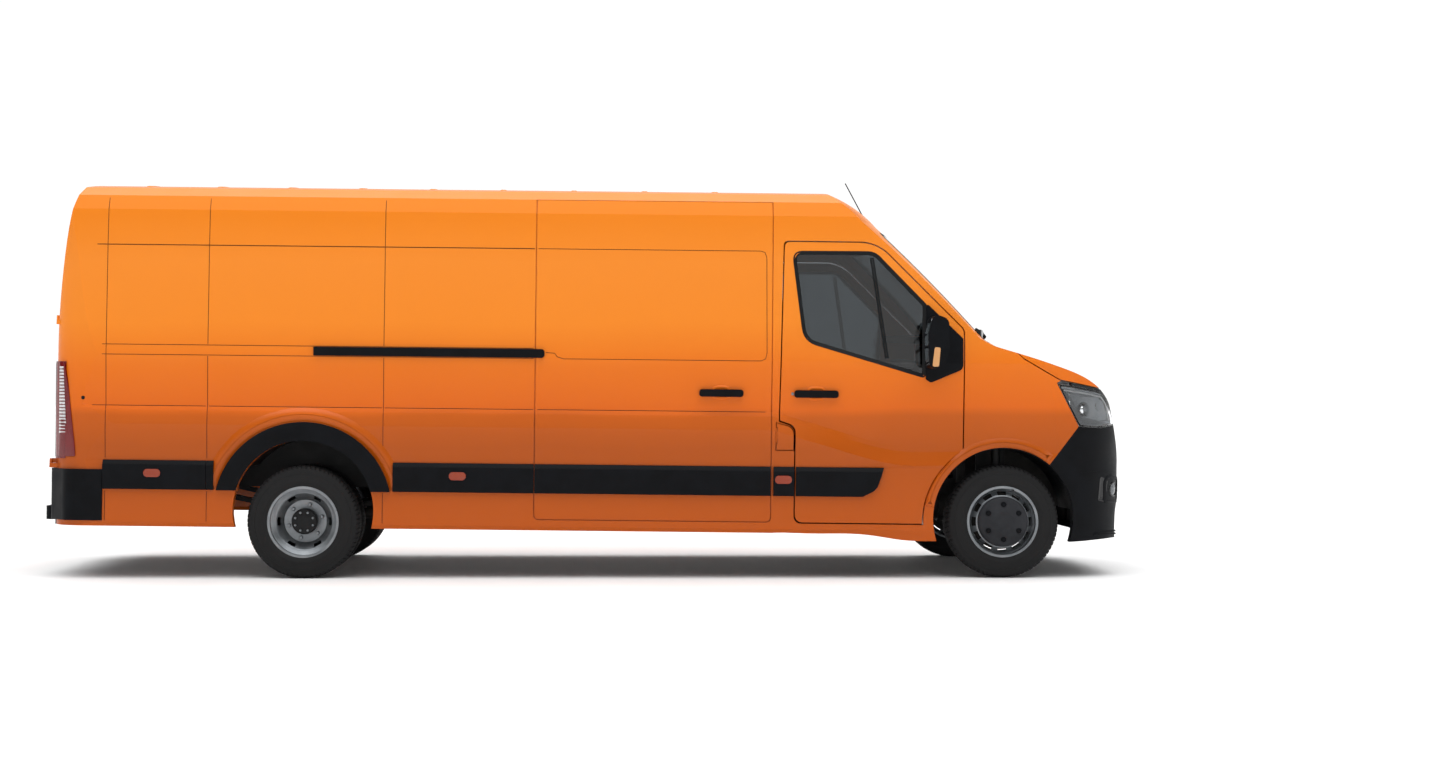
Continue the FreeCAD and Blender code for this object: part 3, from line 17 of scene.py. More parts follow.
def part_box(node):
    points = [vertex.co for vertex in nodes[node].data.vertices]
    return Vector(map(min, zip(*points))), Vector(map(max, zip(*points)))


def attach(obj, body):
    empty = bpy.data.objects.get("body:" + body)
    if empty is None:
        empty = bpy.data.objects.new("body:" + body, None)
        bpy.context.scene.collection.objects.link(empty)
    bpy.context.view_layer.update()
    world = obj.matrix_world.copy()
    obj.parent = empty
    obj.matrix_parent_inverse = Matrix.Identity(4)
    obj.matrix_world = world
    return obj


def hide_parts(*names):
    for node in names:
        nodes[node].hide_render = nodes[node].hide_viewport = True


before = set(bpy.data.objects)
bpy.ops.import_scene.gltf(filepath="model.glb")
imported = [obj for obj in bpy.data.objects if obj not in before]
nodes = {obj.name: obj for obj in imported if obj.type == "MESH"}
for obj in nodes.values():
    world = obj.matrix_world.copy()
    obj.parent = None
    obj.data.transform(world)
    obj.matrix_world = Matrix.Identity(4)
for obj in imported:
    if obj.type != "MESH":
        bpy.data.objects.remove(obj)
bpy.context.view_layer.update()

# %% [markdown]
# ## Camera
# The photograph looks squarely at the van's right side from far away, so the wheels stay nearly round and
# both ends show almost no depth. A long lens far off does the same. The van sits left of the middle and a
# little high in the picture. Turning the camera would bend the verticals, so the lens is shifted instead.

# %% Camera
image_width = 1439
image_height = 780
sensor_mm = 36
camera_distance = 13.7
camera_x = 0.0145
camera_height = 1.091
pixels_per_slope = 2055
centre_px = 588.5
horizon_py = 402

camera_data = bpy.data.cameras.new("photo_camera")
camera_data.sensor_width = sensor_mm
camera_data.lens = sensor_mm * pixels_per_slope / image_width
camera_data.shift_x = (image_width / 2 - centre_px) / image_width
camera_data.shift_y = (horizon_py - image_height / 2) / image_width
camera = bpy.data.objects.new("photo_camera", camera_data)
bpy.context.collection.objects.link(camera)
camera.location = (camera_x, -camera_distance, camera_height)
camera.rotation_euler = (math.pi / 2, 0, 0)
bpy.context.scene.camera = camera
print("lens:", round(camera_data.lens, 2), "mm, shift:", round(camera_data.shift_x, 4))

# %% [markdown]
# ## Colours and nodes
# Paint charts and photographs give sRGB values, and shaders work in linear light, so one function turns a
# hex value into linear numbers. Shaders are small networks of nodes. Adding each kind of node by its own
# helper would hide how alike they are, so one function adds any node, sets it and links it.

# %% Helpers for colours and shader nodes
millimetre = 0.001


def linear(hex_value):
    """Turns an sRGB hex value such as '#F47A1F' into the linear RGBA that a shader takes."""
    shares = [int(hex_value[i : i + 2], 16) / 255 for i in (1, 3, 5)]
    low_end = 0.04045
    light = [s / 12.92 if s <= low_end else ((s + 0.055) / 1.055) ** 2.4 for s in shares]
    return (*light, 1.0)


def add_node(tree, kind, settings=None, links=None):
    """Adds one shader node, sets its options and sockets, and links its inputs to (node, output) pairs."""
    node = tree.nodes.new(kind)
    for name, value in (settings or {}).items():
        if isinstance(name, int) or name in node.inputs:
            node.inputs[name].default_value = value
        else:
            setattr(node, name, value)
    for name, (source, output) in (links or {}).items():
        tree.links.new(source.outputs[output], node.inputs[name])
    return node


def new_surface(name, sockets):
    """Starts a material with one Principled shader whose fixed sockets are given by name."""
    material = bpy.data.materials.new(name)
    material.use_nodes = True
    tree = material.node_tree
    shader = tree.nodes["Principled BSDF"]
    for socket, value in sockets.items():
        shader.inputs[socket].default_value = value
    place = add_node(tree, "ShaderNodeTexCoord")
    return material, tree, shader, place


def grain(tree, place, size_mm, detail=3.0):
    """A cloudy pattern whose patches are about size_mm across."""
    settings = {"Scale": 1 / (size_mm * millimetre), "Detail": detail, "Roughness": 0.55}
    return add_node(tree, "ShaderNodeTexNoise", settings, {"Vector": (place, "Object")})


def tone_ramp(tree, source, socket, stops):
    """Feeds a colour socket from a pattern, by a ramp of (place, linear colour) stops."""
    ramp = add_node(tree, "ShaderNodeValToRGB", None, {"Fac": source})
    elements = ramp.color_ramp.elements
    elements[0].position, elements[1].position = stops[0][0], stops[-1][0]
    for place, _ in stops[1:-1]:
        elements.new(place)
    for element, (_, colour) in zip(elements, stops):
        element.color = colour
    tree.links.new(ramp.outputs[0], socket)


def two_tones(tree, shader, source, dark, light):
    """Runs the base colour from one hex tone to another over the middle of a pattern's values."""
    stops = [(0.35, linear(dark)), (0.65, linear(light))]
    tone_ramp(tree, (source, 0), shader.inputs["Base Color"], stops)


def relief(tree, shader, source, height_mm):
    """Raises the surface by a pattern, as deep as height_mm."""
    settings = {"Distance": height_mm * millimetre, "Strength": 1.0}
    bump = add_node(tree, "ShaderNodeBump", settings, {"Height": (source, 0)})
    tree.links.new(bump.outputs[0], shader.inputs["Normal"])


def roughness_range(tree, shader, source, smooth, rough):
    """Lets the roughness wander between two values with a pattern."""
    settings = {"From Min": 0.3, "From Max": 0.7, "To Min": smooth, "To Max": rough}
    spread = add_node(tree, "ShaderNodeMapRange", settings, {"Value": (source, 0)})
    tree.links.new(spread.outputs[0], shader.inputs["Roughness"])


print("orange in linear light:", [round(v, 3) for v in linear("#F47A1F")])

# %% [markdown]
# ## Body paint
# A van's body is pressed steel under solid two-pack enamel with a clear coat. The sprayed film has orange
# peel, a faint ripple a few millimetres wide, and large panels are never quite flat, so reflections swim
# slowly. Both are bump patterns: modelling them would cost millions of faces for half a millimetre. The
# colour is a ramp over height with painted shade and painted light: dark on the sill and on the bulge below
# the waist crease, and bright just above the crease and up the side, where light falls on the panels.

# %% Body paint
paint_top = 2.6
paint_drift = 0.03
# painted shade and light: these tones darken the sill and the bulge below the waist crease and brighten the
# side above it
painted_shade_tones = [
    (0.3, "#B45004"), (0.85, "#A94C04"), (1.04, "#B85406"), (1.09, "#D16008"), (1.34, "#DA6C0C"),
    (1.62, "#E4801C"), (2.0, "#E48222"), (2.3, "#DF7A10"), (2.56, "#E07C12"),
]


def orange_enamel():
    """Solid orange two-pack enamel under clear coat, which lays a sharp sheen over soft colour. Its base
    colour is painted shade and light by height: dark below the waist crease, bright above it.
    """
    sockets = {"Roughness": 0.42, "Specular IOR Level": 0.12, "Coat Weight": 0.22, "Coat Roughness": 0.1}
    material, tree, shader, place = new_surface("orange_enamel", sockets)
    wave = grain(tree, place, 900, detail=1.0)
    axes = add_node(tree, "ShaderNodeSeparateXYZ", None, {"Vector": (place, "Object")})
    share = add_node(tree, "ShaderNodeMath", {"operation": "MULTIPLY", 1: 1 / paint_top}, {0: (axes, "Z")})
    drift = {"operation": "MULTIPLY_ADD", 1: paint_drift}
    height = add_node(tree, "ShaderNodeMath", drift, {0: (wave, 0), 2: (share, 0)})
    # the base colour follows height, so this ramp paints shade low on the side and light higher up
    stops = [(z / paint_top, linear(tone)) for z, tone in painted_shade_tones]
    tone_ramp(tree, (height, 0), shader.inputs["Base Color"], stops)
    relief(tree, shader, grain(tree, place, 9, detail=1.0), 0.03)
    roughness_range(tree, shader, grain(tree, place, 160), 0.34, 0.42)
    return material


body_paint = orange_enamel()
print("made", body_paint.name)

# %% [markdown]
# ## Moulded plastics
# Bumpers, mouldings and mirror shells are injection-moulded polypropylene, dyed black right through and
# grained in the mould so that fingerprints don't show. Mirror-smooth black parts are ABS. The grain is
# real relief, finer than a pixel here, so it is drawn a little coarser than life.

# %% Moulded plastics
def grained_polypropylene(name, dark, light, grain_mm=3.0, smooth=0.42, rough=0.58):
    """A dyed plastic with a moulded leather-like grain: it scatters light into a soft grey sheen."""
    sockets = {"IOR": 1.49, "Roughness": 0.5, "Specular IOR Level": 0.1}
    material, tree, shader, place = new_surface(name, sockets)
    cell_scale = {"Scale": 1 / (grain_mm * millimetre)}
    cells = add_node(tree, "ShaderNodeTexVoronoi", cell_scale, {"Vector": (place, "Object")})
    relief(tree, shader, cells, 0.25)
    cloud = grain(tree, place, 120)
    two_tones(tree, shader, cloud, dark, light)
    roughness_range(tree, shader, cloud, smooth, rough)
    return material


black_moulding = grained_polypropylene("grained_polypropylene_black", "#050609", "#0B0D11")
cap_plastic = grained_polypropylene("grey_cap_polypropylene", "#26272A", "#303134")
dash_plastic = grained_polypropylene("grained_polypropylene_dash", "#1B1C1F", "#26272B", 2.0, 0.6, 0.75)
tank_plastic = grained_polypropylene("blow_moulded_polyethylene", "#0C0C0D", "#151517", 12.0, 0.45, 0.6)


def gloss_abs():
    """High-gloss black ABS: a dark mirror with faint polishing haze."""
    sockets = {"IOR": 1.53, "Roughness": 0.12, "Specular IOR Level": 0.3}
    material, tree, shader, place = new_surface("gloss_black_abs", sockets)
    haze = grain(tree, place, 60)
    two_tones(tree, shader, haze, "#07080A", "#0C0D10")
    roughness_range(tree, shader, haze, 0.08, 0.2)
    relief(tree, shader, grain(tree, place, 25, detail=1.0), 0.02)
    return material


gloss_black = gloss_abs()
print("made", black_moulding.name, dash_plastic.name, tank_plastic.name, gloss_black.name)

# %% [markdown]
# ## Glass and lenses
# Side windows are toughened glass, dyed grey in the melt. Lamp lenses are clear, red or amber acrylic and
# polycarbonate. They are real solids here, so light can bend through them: the Principled shader's
# transmission does that, and a thin dust film keeps them from being perfectly invisible.

# %% Glass and lenses
def clear_solid(name, colour, ior, smooth, rough, weight=1.0):
    """A see-through solid. The tint is set on the shader and a faint film of dust varies the gloss."""
    sockets = {"Base Color": linear(colour), "IOR": ior, "Transmission Weight": weight, "Roughness": smooth}
    material, tree, shader, place = new_surface(name, sockets)
    film = grain(tree, place, 220)
    roughness_range(tree, shader, film, smooth, rough)
    relief(tree, shader, grain(tree, place, 500, detail=0.0), 0.2)
    return material


window_glass = clear_solid("toughened_grey_glass", "#70777B", 1.52, 0.0, 0.04)
lamp_lens = clear_solid("clear_polycarbonate", "#F4F6F8", 1.58, 0.0, 0.05)
smoked_lens = clear_solid("smoked_polycarbonate", "#5A6066", 1.58, 0.03, 0.08, 0.4)
red_lens = clear_solid("red_acrylic", "#8E0A14", 1.49, 0.05, 0.12, 0.55)
amber_lens = clear_solid("amber_acrylic", "#A83A10", 1.49, 0.1, 0.2, 0.4)
frosted_white = clear_solid("frosted_white_acrylic", "#E8EAEC", 1.49, 0.35, 0.5, 0.25)
pale_amber_lens = clear_solid("pale_amber_acrylic", "#F0B070", 1.49, 0.08, 0.16, 0.35)
print("made", window_glass.name, lamp_lens.name, red_lens.name, amber_lens.name)

# %% [markdown]
# ## Metals and rubber
# Wheels are pressed steel with silver wheel lacquer, the chassis is black e-coat, axles are cast iron and
# the load floor is bare zinc-coated sheet. Chrome and silvered glass are thin metal films. Tyres are
# carbon-black rubber, which goes grey and dusty where it meets the road. All but the tyres are one recipe
# with other numbers, so one function makes them: patches of tone, wandering gloss and a fine relief.

# %% Metals and rubber
def coated_steel(name, dark, light, metallic, smooth, rough, patch_mm=90, pit_mm=6, pit_depth_mm=0.15):
    """A metal, coat or rubber with patches of tone and a fine pitted relief."""
    sockets = {"Metallic": metallic, "Roughness": rough}
    if metallic == 0:
        sockets["Specular IOR Level"] = 0.2
    material, tree, shader, place = new_surface(name, sockets)
    patches = grain(tree, place, patch_mm, detail=5.0)
    two_tones(tree, shader, patches, dark, light)
    roughness_range(tree, shader, patches, smooth, rough)
    relief(tree, shader, grain(tree, place, pit_mm), pit_depth_mm)
    return material


wheel_lacquer = coated_steel("silver_wheel_lacquer", "#6E7276", "#85898C", 0.75, 0.3, 0.42)
chassis_coat = coated_steel("black_electrocoat", "#0E0F10", "#191A1B", 0.0, 0.4, 0.6)
cast_iron = coated_steel("cast_iron", "#2B2A29", "#3A3836", 0.6, 0.55, 0.75, 60, 4, 0.4)
zinc_sheet = coated_steel("zinc_coated_sheet", "#7F8488", "#A0A5A8", 0.85, 0.4, 0.55, 40, 10, 0.05)
exhaust_steel = coated_steel("aluminised_steel", "#6E6A64", "#8E8A84", 0.9, 0.4, 0.6)
seal_rubber = coated_steel("extruded_epdm_rubber", "#08090A", "#101113", 0.0, 0.5, 0.7, 50, 3, 0.1)
bright_chrome = coated_steel("chromed_abs", "#D8DADC", "#ECEDEE", 1.0, 0.06, 0.14, 60, 20, 0.01)
mirror_silver = coated_steel("silvered_glass", "#C8CCD0", "#D6DADD", 1.0, 0.02, 0.05, 200, 60, 0.005)
# painted shade: this dark brown stands for the shade in the seams' grooves and under the waist crease
seam_shade = coated_steel("painted_seam_shade", "#3A1604", "#4A1E06", 0.0, 0.5, 0.7, 40, 8, 0.1)


def carbon_black_rubber():
    """Tyre rubber: nearly black, matt, with a grey bloom in its patches."""
    sockets = {"IOR": 1.52, "Roughness": 0.8, "Specular IOR Level": 0.3}
    material, tree, shader, place = new_surface("carbon_black_rubber", sockets)
    bloom = grain(tree, place, 45, detail=6.0)
    two_tones(tree, shader, bloom, "#09090A", "#131314")
    roughness_range(tree, shader, bloom, 0.68, 0.85)
    relief(tree, shader, grain(tree, place, 5), 0.25)
    return material


tyre_rubber = carbon_black_rubber()
print("made", wheel_lacquer.name, chassis_coat.name, seal_rubber.name, bright_chrome.name, tyre_rubber.name)

# %% [markdown]
# ## Cloth and mesh
# Seat cloth is woven from polyester threads about 1.5 mm apart, and the bumper's intake has a moulded mesh
# with square openings. Both repeat far too often to model, so a wave and a brick pattern draw them, with
# spacings worked out from their real sizes. The threads are drawn 4 mm apart, or they wouldn't show.

# %% Cloth and mesh
thread_mm = 4.0
threads_per_wave = 6.28
opening_mm = 14.0


def woven_polyester():
    """Woven seat cloth with a soft sheen along its edges."""
    sockets = {"Roughness": 0.9, "Sheen Weight": 0.4, "Sheen Roughness": 0.5}
    material, tree, shader, place = new_surface("woven_polyester", sockets)
    threads = {"Scale": 1 / (thread_mm * millimetre * threads_per_wave), "Distortion": 1.5}
    weave = add_node(tree, "ShaderNodeTexWave", threads, {"Vector": (place, "Object")})
    two_tones(tree, shader, grain(tree, place, 30), "#17181B", "#26272C")
    relief(tree, shader, weave, 0.4)
    return material


def wire_mesh_plastic():
    """A moulded mesh of black plastic whose openings are painted near black: painted shade for the dark
    hollow behind it.
    """
    material, tree, shader, place = new_surface("black_mesh_plastic", {"Roughness": 0.6, "IOR": 1.49})
    openings = {
        "Scale": 1.0, "Mortar Size": 0.22, "Brick Width": 1.0, "Row Height": 1.0,
        # painted shade: the openings' near-black colours stand for the shade inside the intake behind the
        # mesh
        "Color1": linear("#020203"), "Color2": linear("#030304"), "Mortar": linear("#17191C"),
    }
    size = 1 / (opening_mm * millimetre)
    forward = {"Scale": (size, size, size), "Rotation": (0, math.pi / 2, 0)}
    turn = add_node(tree, "ShaderNodeMapping", forward, {"Vector": (place, "Object")})
    cells = add_node(tree, "ShaderNodeTexBrick", openings, {"Vector": (turn, 0)})
    tree.links.new(cells.outputs["Color"], shader.inputs["Base Color"])
    relief(tree, shader, cells, 2.0)
    return material


woven_cloth = woven_polyester()
wire_mesh = wire_mesh_plastic()
print("made", woven_cloth.name, wire_mesh.name)

# %% [markdown]
# ## Dressing the parts
# Each part takes its finish by name. A table keeps the choice in one place, which is easier to read than
# a line for each of fifty parts. The frame's meshes stay as they are: only their material slots change.

# %% Dress the parts
finish_of = {
    body_paint: [
        "side_wall_left", "side_wall_right", "roof_panel", "cab_frame", "front_wings", "sliding_door",
        "bonnet", "cab_door_right", "cab_door_left", "rear_door_right", "rear_door_left", "fuel_flap",
    ],
    black_moulding: [
        "front_bumper", "side_mouldings", "rear_bumper", "mirror_right", "mirror_left", "antenna",
        "door_trim_right", "door_trim_left", "sliding_door_fittings",
    ],
    gloss_black: ["grille"],
    dash_plastic: ["dashboard", "steering_wheel", "cab_seats"],
    window_glass: ["windscreen", "cab_glass_right", "cab_glass_left"],
    lamp_lens: ["headlamps"],
    red_lens: ["tail_lamps"],
    amber_lens: ["side_markers"],
    zinc_sheet: ["floor_pan", "bulkhead"],
    chassis_coat: [
        "chassis_frame", "wheel_boxes", "cab_floor", "front_suspension", "rear_axle", "front_knuckle_right",
        "front_knuckle_left",
    ],
    cast_iron: ["engine", "driveline"],
    exhaust_steel: ["exhaust"],
    tank_plastic: ["fuel_tank"],
    tyre_rubber: [
        "front_tyre_right", "front_tyre_left", "rear_tyres_right", "rear_tyres_left", "spare_wheel",
    ],
    wheel_lacquer: ["front_rim_right", "front_rim_left", "rear_rims_right", "rear_rims_left"],
}
for finish, names in finish_of.items():
    for name in names:
        for material_slot in nodes[name].material_slots:
            material_slot.material = finish
soft_edges = {
    "mirror_right": 26, "mirror_left": 26, "rear_bumper": 12, "side_mouldings": 3, "sliding_door_fittings": 5,
    "door_trim_right": 4, "door_trim_left": 4, "dashboard": 14, "fuel_tank": 14, "engine": 12,
}
sharpest_edge = math.radians(50)
for name, width in soft_edges.items():
    edge = nodes[name].modifiers.new("moulded_edges", "BEVEL")
    edge.width = width * millimetre
    edge.segments = 3
    edge.limit_method = "ANGLE"
    edge.angle_limit = sharpest_edge
dressed = sum(len(names) for names in finish_of.values())
print("dressed", dressed, "of", len(nodes), "parts")

# %% [markdown]
# ## Shapes for the added pieces
# A real van's trims are separate mouldings, so each is a mesh of its own that rides on the body it is fixed
# to. Every shape function gives plain lists of points and faces, and one function makes a riding piece of
# them. The van is nearly the same on both sides, so a right-hand shape is drawn once and mirrored.

# %% Helpers for points and pieces
rake_angle = math.radians(0.62)
front_axle = Vector((2.582, 0.0, 0.349))
rake_turn = Matrix.Rotation(rake_angle, 3, "Y")
weld_distance = 0.01 * millimetre
crease_angle = math.radians(35)
hands = ((-1, "right"), (1, "left"))


def level(x, y, z):
    """A point given in level millimetres, leaned forward with the body, in metres."""
    return rake_turn @ (Vector((x, y, z)) * millimetre - front_axle) + front_axle


def piece(name, shapes, finish, body="body"):
    """Joins shapes of (points, faces) into one mesh object that rides on a body."""
    points, faces = [], []
    for shape_points, shape_faces in shapes:
        start = len(points)
        points += [tuple(p) for p in shape_points]
        faces += [tuple(start + i for i in face) for face in shape_faces]
    mesh = bpy.data.meshes.new(name)
    mesh.from_pydata(points, [], faces)
    edit = bmesh.new()
    edit.from_mesh(mesh)
    bmesh.ops.remove_doubles(edit, verts=edit.verts, dist=weld_distance)
    bmesh.ops.recalc_face_normals(edit, faces=edit.faces)
    edit.to_mesh(mesh)
    edit.free()
    mesh.materials.append(finish)
    made = bpy.data.objects.new(name, mesh)
    bpy.context.collection.objects.link(made)
    mesh.shade_smooth()
    mesh.set_sharp_from_angle(angle=crease_angle)
    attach(made, body)
    return made


def flip(shape):
    """The same shape on the other side of the van."""
    points, faces = shape
    return [(x, -y, z) for x, y, z in points], [tuple(reversed(face)) for face in faces]


def pair(name, shapes, finish, body="body"):
    """A right-hand piece and its mirror image, on one body or on the two bodies ending in right and left."""
    if body == "body":
        piece(name, shapes + [flip(s) for s in shapes], finish)
        return
    piece(name + "_right", shapes, finish, body + "_right")
    piece(name + "_left", [flip(s) for s in shapes], finish, body + "_left")


# %% [markdown]
# ## Outlines on the surface
# Seals and lenses follow the sheet metal. Placing them by eye would leave them floating or sunk, so they are
# cast onto it: an outline is drawn flat, seen from the side, front, back or top, and each of its points
# flies along the view until it meets the part. A list of heights then gives the strip its edge.

# %% Rays and rounded outlines
far_mm = 5000
corner_steps = 6
arch_steps = 24
corner_share = 0.48
run_mm = 45
fine_run_mm = 12
depth_limit = 0.02
depth_slope = 0.35
edge_step = 6
trees = {}


def tree_of(node):
    """The search tree of a part's mesh, made once."""
    if node not in trees:
        mesh = nodes[node].data
        corners = [v.co for v in mesh.vertices]
        trees[node] = BVHTree.FromPolygons(corners, [p.vertices[:] for p in mesh.polygons])
    return trees[node]


def cast(view, names, u, v):
    """Where a ray from outside first meets the named parts, and the surface's direction there."""
    starts = {
        "side": ((u, -far_mm, v), (0, 1, 0)),
        "front": ((far_mm, u, v), (-1, 0, 0)),
        "rear": ((-far_mm, u, v), (1, 0, 0)),
        "top": ((u, v, far_mm), (0, 0, -1)),
    }
    start, way = starts[view]
    origin, way = level(*start), rake_turn @ Vector(way)
    found = [tree_of(n).ray_cast(origin, way) for n in names]
    found = [hit for hit in found if hit[0] is not None]
    if not found:
        return None, -way, origin, way
    hit = min(found, key=lambda item: item[3])
    return hit[3], hit[1], origin, way


def rounded(outline, run):
    """A closed outline of (u, v, corner radius) points as a dense list of (u, v) points."""
    dense = []
    count = len(outline)
    for i, corner in enumerate(outline):
        here = Vector(corner[:2])
        radius = corner[2] if len(corner) > 2 else 0
        back = Vector(outline[i - 1][:2]) - here
        ahead = Vector(outline[(i + 1) % count][:2]) - here
        if radius == 0:
            dense.append(here)
            continue
        half = back.angle(ahead) / 2
        reach = min(radius / math.tan(half), corner_share * back.length, corner_share * ahead.length)
        a, c = here + back.normalized() * reach, here + ahead.normalized() * reach
        for k in range(corner_steps + 1):
            t = k / corner_steps
            dense.append(a * (1 - t) ** 2 + here * 2 * t * (1 - t) + c * t**2)
    spread = []
    for i, p in enumerate(dense):
        after = dense[(i + 1) % len(dense)]
        parts = max(1, int((after - p).length / run))
        spread += [p.lerp(after, k / parts) for k in range(parts)]
    return spread


print("the side at mid height is", round(cast("side", ["sliding_door"], 300, 1200)[0], 3), "m from its rays")

# %% Bands, plates and strips
def band_faces(rows, count, closed=True):
    """Four-sided faces between rows of count points, and from the last row to the first if closed."""
    faces = []
    for k in range(rows if closed else rows - 1):
        n = (k + 1) % rows
        for i in range(count):
            j = (i + 1) % count
            faces.append((k * count + i, k * count + j, n * count + j, n * count + i))
    return faces


def laid(view, names, outline, rim, fill=(), along_normal=False, run=run_mm):
    """A band or patch that follows the parts: rim holds (inset, height) pairs in mm, from the outside in,
    and fill holds (share of the way to the middle, height) pairs that close it."""
    dense = rounded(outline, run)
    count = len(dense)
    middle = sum(dense, Vector((0, 0))) / count
    turn = sum((dense[i].x - dense[i - 1].x) * (dense[i].y + dense[i - 1].y) for i in range(count))
    inwards = []
    for i in range(count):
        tangent = (dense[(i + 1) % count] - dense[i - 1]).normalized()
        inwards.append(Vector((tangent.y, -tangent.x)) * (1 if turn > 0 else -1))
    rings = [[(p + n * inset, height) for p, n in zip(dense, inwards)] for inset, height in rim]
    last = rings[-1]
    for share, height in fill:
        rings.append([(p.lerp(middle, share), height) for p, _ in last])
    depths = [cast(view, names, *p) for p in dense]
    depths = [hit if hit[0] is not None else cast(view, names, *(p + n * edge_step))
              for hit, p, n in zip(depths, dense, inwards)]
    known = sorted(hit[0] for hit in depths if hit[0] is not None)
    usual = known[len(known) // 2]
    points = []
    for ring in rings:
        for i, (p, height) in enumerate(ring):
            depth, normal, origin, way = cast(view, names, *p)
            near = depths[i][0] if depths[i][0] is not None else usual
            slack = depth_limit + depth_slope * (p - dense[i]).length * millimetre
            if depth is None or abs(depth - near) > slack:
                depth = near
            outward = normal if along_normal else -way
            points.append(origin + way * depth + outward * height * millimetre)
    faces = band_faces(len(rings), count, closed=not fill)
    if fill:
        top = (len(rings) - 1) * count
        faces.append(tuple(range(top, top + count)))
        faces.append(tuple(reversed(range(count))))
    return points, faces


def plate(view, names, outline, rim, height, share=0.5):
    """A closed plate on the parts, whose rim rises to a height that holds across its middle."""
    return laid(view, names, outline, rim, [(share, height)])


def oblong(u0, u1, v0, v1, radius):
    """The outline of a four-cornered field with one corner radius."""
    return [(u0, v0, radius), (u1, v0, radius), (u1, v1, radius), (u0, v1, radius)]


def bead(width, proud, sunk=1.5):
    """The rim pairs of a soft rounded strip."""
    edge, flank = proud * 0.6, width * 0.15
    return [(0, -sunk), (0, edge), (flank, proud), (width - flank, proud), (width, edge), (width, -sunk)]


def patch(view, names, outline, proud, soft=3):
    """A thin closed plate with softened edges that follows the parts."""
    rim = [(0, -1), (0, proud * 0.55), (soft * 0.4, proud * 0.9), (soft, proud)]
    return laid(view, names, outline, rim, [(0.3, proud), (0.6, proud), (0.85, proud)])


def line_strip(view, names, ends, width, proud):
    """A narrow strip between points (u, v), with width across and a small height."""
    first, last = Vector(ends[0]), Vector(ends[1])
    half = (last - first).normalized() * width / 2
    across = Vector((-half.y, half.x))
    outline = [tuple(p) for p in (first + across, last + across, last - across, first - across)]
    rim = [(0, -1), (0, proud), (width * 0.45, proud)]
    return laid(view, names, outline, rim, run=fine_run_mm)


def arch_outline(x, z, inner, outer, first, last):
    """The C-shaped outline of a band round a wheel arch, between two angles in degrees."""
    angles = [math.radians(first + (last - first) * k / arch_steps) for k in range(arch_steps + 1)]
    out = [(x + outer * math.cos(a), z + outer * math.sin(a)) for a in angles]
    back = [(x + inner * math.cos(a), z + inner * math.sin(a)) for a in reversed(angles)]
    return out + back


print("faces of a small closed band:", len(band_faces(3, 4)))

# %% [markdown]
# ## Turned, swept and boxed shapes
# Hubs and caps are round about an axle, so they are turned from a section, as on a lathe. A bar is a circle
# swept along a path. A foam pad is a box whose power sets how square it is, and whose faces can crown.

# %% Turned, swept and boxed shapes
def turned(profile, centre, axis=(0, 1, 0), segments=96):
    """A lathe shape: profile holds (radius, place along the axis) in mm, and centre is in metres."""
    axis = Vector(axis).normalized()
    first = axis.orthogonal().normalized()
    second = axis.cross(first)
    points = []
    for k in range(segments):
        angle = 2 * math.pi * k / segments
        ray = first * math.cos(angle) + second * math.sin(angle)
        points += [Vector(centre) + (ray * r + axis * y) * millimetre for r, y in profile]
    return points, band_faces(segments, len(profile))


dome_share = 0.5
dome_reach = 0.6
bar_sides = 10


def swept(path, radius):
    """A round bar through points in metres, with domed ends; radius is in mm."""
    points = []
    first_way = (path[1] - path[0]).normalized()
    last_way = (path[-1] - path[-2]).normalized()
    dome = radius * dome_reach * millimetre
    stations = [(path[0] - first_way * dome, dome_share)] + [(p, 1.0) for p in path]
    stations.append((path[-1] + last_way * dome, dome_share))
    side = first_way.orthogonal().normalized()
    for k, (p, share) in enumerate(stations):
        way = stations[min(k + 1, len(stations) - 1)][0] - stations[max(k - 1, 0)][0]
        way.normalize()
        side = (side - way * side.dot(way)).normalized()
        up = way.cross(side)
        for i in range(bar_sides):
            angle = 2 * math.pi * i / bar_sides
            points.append(p + (side * math.cos(angle) + up * math.sin(angle)) * radius * share * millimetre)
    faces = band_faces(len(stations), bar_sides, closed=False)
    faces.append(tuple(reversed(range(bar_sides))))
    faces.append(tuple(range((len(stations) - 1) * bar_sides, len(stations) * bar_sides)))
    return points, faces


channel_depth = 7
channel_width = 9


def soft_box(centre, size, power=6, crown=0.0, channels=(), steps=12, lean=0.0):
    """A rounded, crowned block in level mm. Channels are sewn lines across it, as shares of its width."""
    points, faces, index = [], [], {}
    turn = Matrix.Rotation(lean, 3, "Y")
    for axis in range(3):
        for sign in (-1, 1):
            for a in range(steps + 1):
                for b in range(steps + 1):
                    p = [0.0, 0.0, 0.0]
                    p[axis] = sign
                    p[(axis + 1) % 3] = 2 * a / steps - 1
                    p[(axis + 2) % 3] = 2 * b / steps - 1
                    norm = sum(abs(c) ** power for c in p) ** (1 / power)
                    q = Vector([c / norm * s / 2 for c, s in zip(p, size)])
                    swell = crown * max(0, 1 - p[0] ** 2) * max(0, 1 - p[1] ** 2) * p[2]
                    for place in channels:
                        off = (p[1] - place) * size[1] / 2 / channel_width
                        swell -= p[2] * channel_depth * math.exp(-(off**2))
                    q.z += swell
                    index[axis, sign, a, b] = len(points)
                    points.append(level(*(Vector(centre) + turn @ q)))
            for a in range(steps):
                for b in range(steps):
                    corners = [(a, b), (a + 1, b), (a + 1, b + 1), (a, b + 1)]
                    faces.append(tuple(index[axis, sign, *c] for c in corners))
    return points, faces


print("helpers ready, rake", round(math.degrees(rake_angle), 2), "degrees")

# %% [markdown]
# ## Tyres
# A van tyre is vulcanised in a mould that presses in its tread: four round grooves about 8 mm wide and 7 mm
# deep, and slanted slots across the shoulders every 30 mm. The sidewall carries fine raised rings. Each tyre
# here is one turned mesh, whose slots come from lowering some of its points, so the grooves are real depth.

